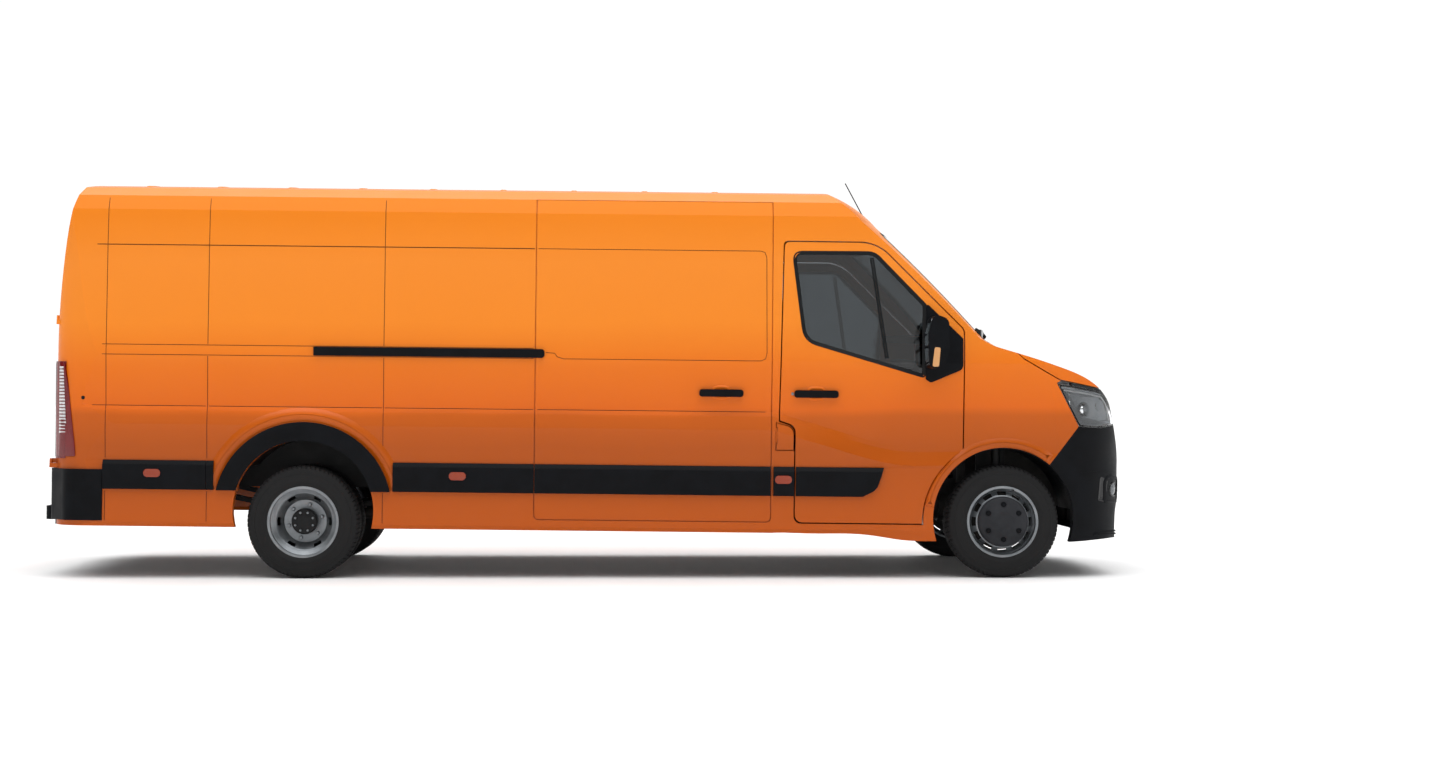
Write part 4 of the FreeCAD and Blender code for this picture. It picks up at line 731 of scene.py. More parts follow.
# %% Tyres
tyre_radius_mm = 349
tread_pitches = 73
slot_stations = (0.0, 0.03, 0.25, 0.28)
slot_depth = 6.0
groove_depth = 7.5
groove_flank = 0.5
shoulder_slant = 0.5
tread_half = 66
crown_drop = 2.4
shoulder_y = 60
shoulder_radius = 328
widest_slot_y = 90
sidewall = [
    (214, 69.5), (221.6, 77.9), (221.6, 86.5), (230, 90.5), (238, 94), (246, 96), (250, 97.5), (253, 97.5),
    (255, 96.6), (272, 97.2), (288, 95.8), (297, 94.0), (298, 95.0), (301, 94.7), (302, 92.9), (316, 89.5),
    (328, 84.8), (337, 79), (343, 72),
]
tread_rows = [(66, 42), (34, 16), (8, -8), (-16, -34), (-42, -66)]


def tread_radius(y):
    """The tread's slightly crowned radius at a place across it."""
    return tyre_radius_mm - crown_drop * (abs(y) / tread_half) ** 3


def tyre_profile():
    """Points (radius, y, slotted) from one bead over the tread to the other."""
    near = [(r, y, shoulder_radius < r) for r, y in sidewall]
    rows = []
    for high, low in tread_rows:
        slotted = abs(high + low) > shoulder_y
        for y, inwards in ((high, -groove_flank), (low, groove_flank)):
            grooved = abs(y) < shoulder_y
            foot = (tread_radius(y) - groove_depth * grooved, y, False)
            top = (tread_radius(y), y + inwards * grooved, slotted)
            rows += [foot, top] if y == high else [top, foot]
    far = [(r, -y, shoulder_radius < r) for r, y in reversed(sidewall)]
    return near + rows[1:-1] + far


def tyre(x, y_mm):
    """One tyre as a closed ring of profiles, round the axle at x (metres) and y (mm)."""
    profile = tyre_profile()
    points = []
    stations = tread_pitches * len(slot_stations)
    for k in range(stations):
        pitch, station = divmod(k, len(slot_stations))
        in_slot = station in (1, 2)
        for radius, y, slotted in profile:
            drop = slot_depth if in_slot and slotted else 0
            slant = shoulder_slant * (y / tread_half if abs(y) < widest_slot_y else math.copysign(1, y))
            angle = 2 * math.pi * (pitch + slot_stations[station] + slant) / tread_pitches
            r = (radius - drop) * millimetre
            points.append((x + r * math.cos(angle), (y_mm + y) * millimetre, axle_z + r * math.sin(angle)))
    return points, band_faces(stations, len(profile))


wheelbase = 4.332
front_x = front_axle.x
rear_x = front_x - wheelbase
axle_z = front_axle.z
front_y = 875
outer_y = 921
inner_y = 691
for side, hand in hands:
    tread = [tyre(front_x, side * front_y)]
    front_tyre = piece("treaded_front_tyre_" + hand, tread, tyre_rubber, "front_wheel_" + hand)
    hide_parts("front_tyre_" + hand)
    twins = [tyre(rear_x, side * outer_y), tyre(rear_x, side * inner_y)]
    rear_tyres = piece("treaded_rear_tyres_" + hand, twins, tyre_rubber, "rear_wheels_" + hand)
    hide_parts("rear_tyres_" + hand)
print("tyre faces:", len(front_tyre.data.polygons), "each")

# %% [markdown]
# ## Steel wheels
# Van wheels are two pressings welded together: a rolled rim and a dished disc, with openings that cool the
# brakes. The disc is a lathe shape with cells left out for the openings and walls added round each, which
# gives clean edges without a boolean. The front discs carry a moulded cap with a cover over every nut.

# %% Steel wheels
rim_section = [
    (221, -86), (221, -80), (214, -72), (213.7, -44), (190, -30), (190, 30), (213.7, 44), (214, 72),
    (221, 80), (221, 86), (216, 86), (206, 84), (206, 43), (183, 26), (183, -26), (206, -43), (206, -84),
    (216, -86),
]


def pierced(front, back, centre, side, count, share, cells, per_opening=10):
    """A disc between a front and a back profile of (radius, y), with openings through the given cells."""
    points, faces = [], []
    rows = len(front)
    segments = count * per_opening
    for k in range(segments):
        angle = 2 * math.pi * (k - per_opening / 2) / segments
        for radius, y in front + back:
            r = radius * millimetre
            points.append((centre[0] + r * math.cos(angle), centre[1] + side * y * millimetre,
                           centre[2] + r * math.sin(angle)))
    open_steps = round(per_opening * share)
    first_open = (per_opening - open_steps) // 2

    def is_open(k, i):
        return i in cells and first_open <= k % per_opening < first_open + open_steps

    width = 2 * rows
    for k in range(segments):
        n = (k + 1) % segments
        for i in range(rows - 1):
            if not is_open(k, i):
                faces.append((k * width + i, k * width + i + 1, n * width + i + 1, n * width + i))
                b = rows + i
                faces.append((k * width + b, n * width + b, n * width + b + 1, k * width + b + 1))
                continue
            walls = [(is_open(k, i - 1), (k, i), (n, i)), (is_open(k, i + 1), (k, i + 1), (n, i + 1)),
                     (is_open(k - 1, i), (k, i), (k, i + 1)), (is_open(n, i), (n, i), (n, i + 1))]
            for open_there, a, b in walls:
                if not open_there:
                    faces.append((a[0] * width + a[1], b[0] * width + b[1], b[0] * width + rows + b[1],
                                  a[0] * width + rows + a[1]))
        for i in (0, rows - 1):
            faces.append((k * width + i, n * width + i, n * width + rows + i, k * width + rows + i))
    return points, faces


def lathe(section, centre, side, segments=96):
    """A section turned about an axle, with its places along the axle taken outwards on a side."""
    return turned([(r, side * y) for r, y in section], centre, segments=segments)


wheel_face = 86
disc_steel = 9
disc_front = [
    (42, -4), (100, -8), (150, -11), (160, -14), (163, -16), (168, -21), (184, -37), (188, -42), (192, -50),
]
disc_back = [(r, y - disc_steel) for r, y in disc_front]
sleeve_section = [(42, -4), (70, -6), (70, -80), (42, -80)]
rotor_section = [(72, -96), (176, -96), (176, -122), (72, -122)]
valve_section = [(0, -30), (4, -30), (4, 4), (5, 5), (5, 14), (0, 14)]
cap_section = [
    (0, 37), (56, 36.6), (60, 38.2), (66, 38.2), (72, 36.4), (110, 31), (140, 24.6), (150, 17), (155.5, 7),
    (156, -9), (153, -9), (150, 3), (100, 20), (0, 30),
]
nut_cover = [(0, 38.5), (12, 38), (16, 36), (18, 31), (18.5, 20), (0, 20)]
nut_circle = 108
nut_count = 6
nut_turn = 0.5
valve_circle = 205
valve_turn = 0.2
front_openings = {"count": 12, "share": 0.6, "cells": (4, 5, 6)}


def round_about(profile, centre, circle, count, side, start, segments=20):
    """The same turned shape at equal angles round an axle."""
    shapes = []
    for k in range(count):
        angle = 2 * math.pi * (k + start) / count
        place = Vector(centre) + Vector((math.cos(angle), 0, math.sin(angle))) * circle * millimetre
        shapes.append(lathe(profile, place, side, segments))
    return shapes


for side, hand in hands:
    hub = (front_x, side * front_y * millimetre, axle_z)
    face = (front_x, side * (front_y + wheel_face) * millimetre, axle_z)
    wheel_body = "front_wheel_" + hand
    steel = [turned(rim_section, hub), lathe(sleeve_section, face, side)]
    steel.append(pierced(disc_front, disc_back, face, side, **front_openings))
    piece("brake_disc_" + hand, [lathe(rotor_section, face, side)], cast_iron, wheel_body)
    wheel = piece("front_steel_wheel_" + hand, steel, wheel_lacquer, wheel_body)
    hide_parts("front_rim_" + hand)
    piece("front_wheel_cap_" + hand, [lathe(cap_section, face, side)], cap_plastic, wheel_body)
    nuts = round_about(nut_cover, face, nut_circle, nut_count, side, nut_turn)
    piece("front_nut_covers_" + hand, nuts, black_moulding, wheel_body)
    valve = round_about(valve_section, face, valve_circle, 1, side, valve_turn)
    piece("front_valve_" + hand, valve, seal_rubber, wheel_body)
print("front wheels made")

# %% [markdown]
# ## Rear twin wheels
# Two wheels fit on one hub because their discs are dished deep, so the outer disc lies far inwards and the
# hub stands out of its middle with eight bolts. The same functions make them from other sections.

# %% Rear twin wheels
dish_front = [
    (70, -128), (118, -128), (132, -125), (143, -108), (150, -96), (170, -72), (176, -66), (183, -61),
    (192, -60),
]
dish_steel = 11
dish_flare = 6
dish_back = [(r + (dish_flare if 132 < r < 192 else 0), y - dish_steel) for r, y in dish_front]
inner_disc = [(70, -140), (132, -140), (192, -262), (192, -272), (130, -152), (70, -152)]
hub_section = [(0, -58), (48, -58), (52, -60), (74, -62), (80, -68), (80, -228), (0, -228)]
bolt_section = [(0, -46), (6, -46.5), (8, -49), (8, -62), (11, -62), (11, -66), (0, -66)]
bolt_circle = 59
bolt_count = 8
bolt_turn = 0.5
lug_section = [(0, -110), (9, -110), (12, -113), (13, -122), (13, -130), (0, -130)]
lug_circle = 106
lug_count = 6
lug_turn = 0.25
hexagon = 6
rear_openings = {"count": 6, "share": 0.3, "cells": (4,), "per_opening": 20}
for side, hand in hands:
    outer = (rear_x, side * outer_y * millimetre, axle_z)
    inner = (rear_x, side * inner_y * millimetre, axle_z)
    face = (rear_x, side * (outer_y + wheel_face) * millimetre, axle_z)
    wheel_body = "rear_wheels_" + hand
    steel = [turned(rim_section, outer), turned(rim_section, inner), lathe(inner_disc, face, side)]
    steel.append(pierced(dish_front, dish_back, face, side, **rear_openings))
    steel += round_about(lug_section, face, lug_circle, lug_count, side, lug_turn, hexagon)
    wheels = piece("rear_steel_wheels_" + hand, steel, wheel_lacquer, wheel_body)
    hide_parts("rear_rims_" + hand)
    piece("rear_hub_" + hand, [lathe(hub_section, face, side)], chassis_coat, wheel_body)
    bolts = round_about(bolt_section, face, bolt_circle, bolt_count, side, bolt_turn, hexagon)
    piece("rear_hub_bolts_" + hand, bolts, wheel_lacquer, wheel_body)
print("wheels made")

# %% [markdown]
# ## Window seals
# Glass sits in extruded rubber, so a soft rounded strip runs round each side glass and the windscreen. A
# dark bar divides the side glass, and the windscreen has a black enamel border that hides its glue.

# %% Window seals and the painted border of the windscreen
window_outline = [(1262, 2007, 60), (1769, 2007, 110), (2084, 1690, 25), (2084, 1236, 25), (1338, 1455, 130)]
window_bar_ends = [(1752, 1975), (1848, 1352)]
window_bar_width = 24
screen_outline = [(-890, 1490, 90), (890, 1490, 90), (790, 2150, 90), (-790, 2150, 90)]
border_rim = [(3, -0.5), (3, 0.5), (52, 0.5), (52, -0.5)]
corner_stretch = 1.25
seal_overlap = 7
screen_seal_overlap = 6
seal_proud = 3.0
side_seal = bead(24, seal_proud, 3)
screen_bead = bead(15, seal_proud)
side_glass = ["cab_glass_right", "cab_door_right"]


def grown(outline, by):
    """An outline moved outwards by so many mm at each corner."""
    points = [Vector(p[:2]) for p in outline]
    middle = sum(points, Vector((0, 0))) / len(points)
    moved = []
    for p, corner in zip(points, outline):
        out = (p - middle).normalized() * by * corner_stretch
        moved.append((p.x + out.x, p.y + out.y, *corner[2:]))
    return moved


seal = laid("side", side_glass, grown(window_outline, seal_overlap), side_seal)
pair("window_seal", [seal], seal_rubber, "cab_door")
bar = line_strip("side", side_glass, window_bar_ends, window_bar_width, seal_proud)
pair("glass_division_bar", [bar], seal_rubber, "cab_door")
piece("windscreen_black_border", [laid("front", ["windscreen"], screen_outline, border_rim)], gloss_black)
screen_edge = grown(screen_outline, screen_seal_overlap)
screen_seal = laid("front", ["windscreen", "cab_frame"], screen_edge, screen_bead)
piece("windscreen_seal", [screen_seal], seal_rubber)
print("glass edges:", len(seal[0]), "points in a side seal")

# %% [markdown]
# ## Seams between the side's panels
# Where panels meet there is a narrow groove with sealer in it. Cutting grooves would change the parts' own
# meshes, so each seam is a thin dark strip of painted shade on the wall, standing for the shade in the
# groove, and the strip along the waist paints the shade under the crease.

# %% Seams between the side's panels
wall = ["side_wall_right", "sliding_door"]
sliding_door = ["sliding_door"]
seam_width = 3.5
seam_proud = 0.8
groove_width = 5
groove_proud = 1.0
corner_seam_x = -2975
sliding_door_back_x = -335
groove_z = 2008
waist_z = 1013
seam_places = (-2347, -1260)
seam_heights = ((690, 1322), (1396, 2300), (300, 486))
corner_seam_heights = ((690, 2300), (300, 486))
upright_seams = [((x, z0), (x, z1)) for x in seam_places for z0, z1 in seam_heights]
upright_seams += [((corner_seam_x, z0), (corner_seam_x, z1)) for z0, z1 in corner_seam_heights]
level_seams = [((-3000, z), (sliding_door_back_x, z)) for z in (1328, 1390)]
# painted shade: the strips at waist height paint the shade under the waist crease
for x0, x1 in ((-3060, -2356), (-2338, -1269), (-1251, sliding_door_back_x), (-310, 1100)):
    level_seams.append(((x0, waist_z), (x1, waist_z)))
groove_ends = [(-3040, groove_z), (sliding_door_back_x, groove_z)]
left_groove_ends = [(-312, groove_z), (1100, groove_z)]
recess = [
    (-312, groove_z), (1062, groove_z), (1088, 2000), (1100, 1970), (1106, 1380), (1098, 1342), (1070, 1328),
    (-150, 1328), (-190, 1340), (-205, 1362), (-262, 1366),
]


def seam(names, ends, width=seam_width, proud=seam_proud):
    """A thin dark strip on a side's parts: painted shade along a seam."""
    return line_strip("side", names, ends, width, proud)


seams = [seam(wall, ends) for ends in upright_seams]
seams.append(seam(wall, groove_ends, groove_width, groove_proud))
seams += [seam(wall, ends) for ends in level_seams]
pair("wall_seam_shade", seams, seam_shade)
recess_line = [seam(sliding_door, ends) for ends in zip(recess, recess[1:])]
piece("sliding_door_recess_line", recess_line, seam_shade)
left_groove = seam(sliding_door, left_groove_ends, groove_width, groove_proud)
piece("left_wall_line", [flip(left_groove)], seam_shade)
print("seams:", len(seams), "on each side")

# %% [markdown]
# ## Arch flares and roof beads
# Sheet steel is pressed into lips and beads, which stiffen it and stop it from drumming. A press would form
# both from the panel itself. Here they are bands and fields raised a few millimetres off the surface.

# %% Arch flares and roof beads
rear_arch = {"x": -1750, "z": 371, "inner": 552, "outer": 642, "first": 14, "last": 166}
rear_flare_rim = [(0, -1), (8, 2), (20, 8), (34, 12), (44, 13.5)]
front_arch = {"x": 2582, "z": 368, "inner": 441, "outer": 503, "first": 52, "last": 172}
front_flare_rim = [(0, -1), (6, 2), (15, 7), (24, 10), (30, 11)]
nose_sides = ["front_wings", "cab_frame", "front_bumper"]
bead_places = range(-2800, 801, 450)
bead_half_width = 24
bead_half_length = 640
bead_corner = 20
bead_rim = [(0, -1), (4, 0.8), (12, 4.0), (16, 4.5)]
bead_proud = 4.6
pair("rear_arch_flare", [laid("side", wall, arch_outline(**rear_arch), rear_flare_rim)], body_paint)
pair("front_arch_flare", [laid("side", nose_sides, arch_outline(**front_arch), front_flare_rim)], body_paint)
beads = []
for x in bead_places:
    field = oblong(x - bead_half_width, x + bead_half_width, -bead_half_length, bead_half_length, bead_corner)
    beads.append(plate("top", ["roof_panel"], field, bead_rim, bead_proud))
piece("roof_beads", beads, body_paint)
print("roof beads:", len(beads))

# %% [markdown]
# ## Arch liners and step wells
# Over each front wheel there is a plastic liner against stones and spray. It is a part of a tube. Below
# each cab door is a moulded step well, made of four thin blocks, with a rubber seal along its sill.

# %% Arch liners and step wells
liner_steps = 32


def half_tube(x, z, inner, outer, y0, y1, first, last):
    """An arch liner: part of a tube round an axle, between two angles in degrees, in level mm."""
    points = []
    for k in range(liner_steps + 1):
        angle = math.radians(first + (last - first) * k / liner_steps)
        for radius, y in ((inner, y0), (inner, y1), (outer, y1), (outer, y0)):
            points.append(level(x + radius * math.cos(angle), y, z + radius * math.sin(angle)))
    faces = band_faces(liner_steps + 1, 4, closed=False)
    faces.append((3, 2, 1, 0))
    faces.append(tuple(liner_steps * 4 + i for i in range(4)))
    return points, faces


front_liner = {
    "x": 2582, "z": 368, "inner": 434, "outer": 438, "y0": -985, "y1": -585, "first": 8, "last": 172,
}
sill_seals = (((1660, -942, 320), (820, 18, 32)), ((1272, -941, 440), (36, 18, 262)))
step_walls = (
    ((1595, -848, 323), (610, 202, 22)), ((1595, -753, 450), (610, 12, 242)),
    ((1296, -848, 450), (12, 202, 242)), ((1894, -848, 450), (12, 202, 242)),
)
pair("door_sill_seal", [soft_box(middle, size, power=12) for middle, size in sill_seals], seal_rubber)
pair("cab_step_well", [soft_box(middle, size, power=14) for middle, size in step_walls], black_moulding)
pair("front_arch_liner", [half_tube(**front_liner)], black_moulding)
print("step wells and liners made")

# %% [markdown]
# ## Grille
# The upper grille is moulded ABS with thin level bars and a chromed strip over them. The bars are raised
# plates on the grille's face, drawn once and repeated down it by a loop.

# %% Grille
grille_bar_places = range(985, 1100, 38)
grille_bar_height = 20
grille_bar_half = 520
grille_bar_corner = 6
grille_bar_rim = [(0, -1), (2, 5), (5, 7)]
grille_bar_proud = 7
strip_field = oblong(-560, 560, 1122, 1134, 6)
strip_rim = [(0, -1), (2, 4), (4, 5)]
strip_proud = 5
bars = []
for z in grille_bar_places:
    field = oblong(-grille_bar_half, grille_bar_half, z, z + grille_bar_height, grille_bar_corner)
    bars.append(plate("front", ["grille"], field, grille_bar_rim, grille_bar_proud))
piece("grille_bars", bars, gloss_black)
piece("grille_top_strip", [plate("front", ["grille"], strip_field, strip_rim, strip_proud)], bright_chrome)
print("grille bars:", len(bars))

# %% [markdown]
# ## Bumper openings
# The bumper has a wide intake behind a moulded mesh, a round fog lamp at each end and a vent at each side.
# Real openings are deep. Here frames, ribs and mesh are laid on the dark bumper, whose shade hides that.

# %% Bumper
bumper = ["front_bumper"]
intake = [(-570, 345, 40), (570, 345, 40), (620, 480, 40), (-620, 480, 40)]
intake_rim = [(0, -1), (1, 0.8)]
intake_frame_overlap = 14
intake_frame_rim = bead(26, 9)
rib_fields = [oblong(-575, 575, z - 5, z + 5, 3) for z in (378, 412, 446)]
rib_rim = [(0, -1), (1, 5), (3, 7)]
rib_proud = 7
fog_outline = [(-835, 470, 30), (-665, 470, 30), (-665, 620, 40), (-835, 640, 60)]
fog_frame_overlap = 8
fog_frame_rim = bead(20, 7)
fog_ring = oblong(-795, -705, 505, 595, 45)
fog_bezel_rim = [(0, -1), (0, 4), (5, 7), (9, 3), (9, -1)]
fog_lens_rim = [(10, 0), (10, 2), (14, 4)]
fog_lens_fill = [(0.3, 5.5), (0.6, 7)]
lip_outline = [(-900, 262, 20), (900, 262, 20), (880, 292, 10), (-880, 292, 10)]
lip_rim = [(0, -1), (3, 9), (8, 12)]
vent_outline = [(3190, 480, 14), (3255, 470, 14), (3268, 610, 20), (3205, 640, 20)]
vent_rim = [(0, -1), (2, 2), (7, 2.5), (10, 0.6)]
crease_ends = [(3075, 655), (3330, 668)]
crease_width = 9
crease_proud = 2.2
piece("intake_wire_mesh", [plate("front", bumper, intake, intake_rim, height=0.8)], wire_mesh)
surround = [laid("front", bumper, grown(intake, intake_frame_overlap), intake_frame_rim)]
surround += [plate("front", bumper, field, rib_rim, rib_proud) for field in rib_fields]
piece("intake_surround", surround, black_moulding)
fog_frame = laid("front", bumper, grown(fog_outline, fog_frame_overlap), fog_frame_rim)
pair("fog_lamp_frame", [fog_frame], black_moulding)
pair("fog_lamp_bezel", [laid("front", bumper, fog_ring, fog_bezel_rim)], gloss_black)
fog_lens = laid("front", bumper, fog_ring, fog_lens_rim, fog_lens_fill)
pair("fog_lamp_lens", [fog_lens], smoked_lens)
piece("bumper_lower_lip", [plate("front", bumper, lip_outline, lip_rim, 12, share=0.6)], black_moulding)
pair("bumper_side_vent", [plate("side", bumper, vent_outline, vent_rim, 0.6, share=0.4)], gloss_black)
pair("bumper_crease", [line_strip("side", bumper, crease_ends, crease_width, crease_proud)], black_moulding)
print("front pieces laid on")

# %% [markdown]
# ## Headlamp insides
# A headlamp is a clear polycarbonate cover over a silvered reflector pod, with a bright projector and a
# strip of daylight lamps. Each inside piece is placed at a depth behind the cover's skin, so none pokes out.

# %% Headlamp insides
lamp_outline = [
    (2925, 1196, 20), (3250, 1146, 40), (3305, 1020, 60), (3316, 968, 10), (3205, 948, 60), (3070, 956, 30),
]
lamp_edge = [
    (2912, 1207, 20), (3258, 1154, 40), (3317, 1020, 60), (3330, 958, 10), (3205, 938, 70), (3055, 948, 30),
]
lamp_edge_rim = [(0, -1), (0, 0.6), (7, 0.6), (7, -1)]
headlamp = ["headlamps"]
lamp_wall = -47
pod_rim = [(0, -60), (0, lamp_wall), (18, lamp_wall - 5)]
pod_fill = [(0.3, lamp_wall - 22), (0.7, lamp_wall - 34)]
sight = Vector((1, -0.55, 0.05)).normalized()
projector_section = [(0, 26), (12, 25), (24, 20), (31, 12), (34, 2), (34, -8), (0, -8)]
bezel_section = [(35, -12), (35, 6), (38, 9), (43, 7), (52, -4), (54, -14)]
outer_bowl = [(0, -26), (14, -23), (26, -12), (32, 2), (35, 4), (36, 0), (30, -16), (0, -32)]
inner_bowl = [(0, -22), (12, -20), (22, -11), (28, 0), (30, 2), (32, -2), (26, -14), (0, -28)]
daylight_places = (
    (2965, 1170), (3060, 1158), (3160, 1143), (3232, 1128), (3268, 1085), (3286, 1030), (3296, 985),
)
daylight_radius = 6
projector_place = (3125, 1048, -70)
outer_bowl_place = (3225, 1075, -72)
inner_bowl_place = (3025, 1090, -68)


def skin_point(view, names, u, v, height):
    """A point at a height in mm off the parts' skin, where a place (u, v) of a view meets it."""
    depth, normal, origin, way = cast(view, names, u, v)
    return origin + way * depth + normal * height * millimetre


def lamp_point(u, v, height):
    """A point behind the headlamp's cover."""
    return skin_point("side", headlamp, u, v, height)


pod = laid("side", headlamp, lamp_outline, pod_rim, pod_fill, along_normal=True)
pair("headlamp_pod", [pod], wheel_lacquer)
pair("headlamp_projector", [turned(projector_section, lamp_point(*projector_place), sight)], lamp_lens)
bowl_list = (
    (bezel_section, projector_place), (outer_bowl, outer_bowl_place), (inner_bowl, inner_bowl_place),
)
bowls = [turned(section, lamp_point(*place), sight) for section, place in bowl_list]
pair("headlamp_reflectors", bowls, bright_chrome)
day_path = [lamp_point(u, v, lamp_wall - 4) for u, v in daylight_places]
pair("daylight_strip", [swept(day_path, daylight_radius)], frosted_white)
edge_band = laid("side", headlamp, lamp_edge, lamp_edge_rim, along_normal=True)
pair("headlamp_edge", [edge_band], seal_rubber)
print("headlamp pieces made")

# %% [markdown]
# ## Wipers and cowl
# A wiper is a rubber blade on a pressed arm that turns on a pivot in the cowl. Blade and arm are bars swept
# through points a little off the windscreen, so they follow its curve.

# %% Wipers and cowl
wiper_base = ["windscreen", "cab_frame", "bonnet"]
wiper_pivots = (-560, 60)
wiper_reach = 560
blade_shares = (0.05, 0.3, 0.55, 0.8, 1.05)
blade_back = 60
blade_low_z = 1532
blade_rise = 36
blade_lift = 9
blade_radius = 6
arm_radius = 7
arm_points = ((0, 1502, 14), (110, 1518, 26), (252, 1552, 22))
pivot_z = 1502
pivot_lift = 4
pivot_section = [(0, 22), (12, 20), (17, 12), (18, -6), (0, -6)]
screen_way = (0.8, 0, 0.6)
cowl_outline = [(-860, 1462, 10), (860, 1462, 10), (850, 1484, 8), (-850, 1484, 8)]
cowl_rim = [(0, -1), (3, 2.5), (6, 3)]
wipers = []
for y in wiper_pivots:
    start = y - blade_back
    blade = [(start + wiper_reach * t, blade_low_z + blade_rise * t, blade_lift) for t in blade_shares]
    arm = [(y + along, z, lift) for along, z, lift in arm_points]
    for path, radius in ((blade, blade_radius), (arm, arm_radius)):
        wipers.append(swept([skin_point("front", wiper_base, *p) for p in path], radius))
    wipers.append(turned(pivot_section, skin_point("front", wiper_base, y, pivot_z, pivot_lift), screen_way))
piece("windscreen_wipers", wipers, black_moulding)
piece("cowl_strip", [plate("front", wiper_base, cowl_outline, cowl_rim, height=3)], black_moulding)
print("wiper pieces:", len(wipers))

# %% [markdown]
# ## Sides and mirrors
# The mirror's silvered glass faces back and its turn lamp wraps the shell's outer face. Door handles are
# plastic grips over a dished pocket, and only the front doors have a key barrel. Black side guards are
# moulded with a step near their top, which catches the light as a thin pale line.

# %% Mirrors, locks and marks on the side
mirror_upper = [(-1222, 1430, 25), (-1078, 1430, 25), (-1078, 1600, 30), (-1222, 1600, 40)]
mirror_lower = [(-1222, 1308, 30), (-1078, 1308, 30), (-1078, 1412, 15), (-1222, 1412, 15)]
mirror_rim = [(0, -1), (0, 0.5), (3, 1.2)]
turn_lamp = [(2090, 1300, 12), (2130, 1300, 12), (2140, 1415, 12), (2104, 1420, 12)]
handle_z = 1127
door_handle_x = 1413
slide_handle_x = 826
cup = [(-58, -40, 40), (58, -40, 40), (58, 48, 48), (-58, 48, 48)]
cup_rim = [(0, -0.5), (5, 4.0), (11, 5.5), (17, 4.0), (22, -0.5)]
barrel_field = oblong(1258, 1276, 1118, 1136, 9)
plug_field = oblong(-3128, -3106, 1046, 1068, 9)
guard_step_z = 652
guard_step_width = 5
guard_step_proud = 1.2
guard_stretches = [(-2980, -2353), (-2341, -2306), (-1194, -331), (-319, 1132)]
door_stretch = (1308, 1822)


def handle_cup(name, x):
    """The dished pocket behind a handle at x, as a raised lip on the named part."""
    return laid("side", [name], [(x + u, handle_z + v, r) for u, v, r in cup], cup_rim)


def guard_step(names, x0, x1):
    """The thin step along a side guard."""
    ends = [(x0, guard_step_z), (x1, guard_step_z)]
    return line_strip("side", names, ends, guard_step_width, guard_step_proud)


mirror_fields = (mirror_upper, mirror_lower)
mirror_glass = [plate("rear", ["mirror_right"], f, mirror_rim, height=1.2) for f in mirror_fields]
pair("silvered_mirror_glass", mirror_glass, mirror_silver, "cab_door")
turn_lens = patch("side", ["mirror_right"], turn_lamp, proud=3.5)
pair("mirror_turn_lamp", [turn_lens], pale_amber_lens, "cab_door")
pair("door_handle_cup", [handle_cup("cab_door_right", door_handle_x)], body_paint, "cab_door")
piece("slide_handle_cup", [handle_cup("sliding_door", slide_handle_x)], body_paint)
key_barrel = patch("side", ["cab_door_right"], barrel_field, proud=3.0, soft=2)
pair("key_barrel", [key_barrel], wheel_lacquer, "cab_door")
guard_steps = [guard_step(["side_mouldings", "door_trim_right"], *stretch) for stretch in guard_stretches]
pair("guard_step_line", guard_steps, black_moulding)
pair("door_guard_step_line", [guard_step(["door_trim_right"], *door_stretch)], black_moulding, "cab_door")
pair("side_rubber_plug", [patch("side", ["side_wall_right"], plug_field, proud=2)], seal_rubber)
print("side pieces made")

# %% [markdown]
# ## Rear doors
# Each rear door is stiffened by two shallow pressed frames and closes on a rubber strip. The outlines are
# drawn for the left door and turned to each side, because each door is a body with its own hinge.

# %% Rear doors
pressing_rim = [(0, -0.5), (6, 2.5), (18, 3.5), (30, 2.5), (36, -0.5)]
door_edge = [(22, 652, 12), (806, 652, 30), (796, 2225, 60), (22, 2240, 12)]
upper_pressing = [(80, 1010, 40), (760, 1010, 60), (750, 2080, 90), (80, 2080, 40)]
lower_pressing = [(80, 720, 40), (770, 720, 50), (765, 960, 50), (80, 960, 40)]
door_seal_rim = bead(12, 1.5)
grip_field = oblong(-190, -60, 1085, 1130, 20)
grip_rim = [(0, -1), (3, 12), (9, 17)]
lamp_bar_field = oblong(-420, -30, 985, 1012, 12)
lamp_bar_rim = [(0, -1), (3, 12), (7, 15)]


def sided(outline, side):
    """An outline drawn for the left half, turned to a side."""
    return [(side * y, z, radius) for y, z, radius in outline]


for side, hand in hands:
    node = "rear_door_" + hand
    piece(node + "_seal", [laid("rear", [node], sided(door_edge, side), door_seal_rim)], seal_rubber, node)
    frames = [laid("rear", [node], sided(f, side), pressing_rim) for f in (upper_pressing, lower_pressing)]
    piece(node + "_pressings", frames, body_paint, node)
handle_door = "rear_door_right"
grip = plate("rear", [handle_door], grip_field, grip_rim, height=18)
piece("rear_handle", [grip], black_moulding, handle_door)
lamp_bar = plate("rear", [handle_door], lamp_bar_field, lamp_bar_rim, height=15)
piece("plate_lamp_bar", [lamp_bar], black_moulding, handle_door)
print("rear door pieces made")

# %% [markdown]
# ## Tail lamps and step
# The tail lamps are red acrylic with a ribbed clear window for the reversing lamp, and widen downwards as
# seen from the side. The step in the bumper has rubber treads so that a wet boot doesn't slip.

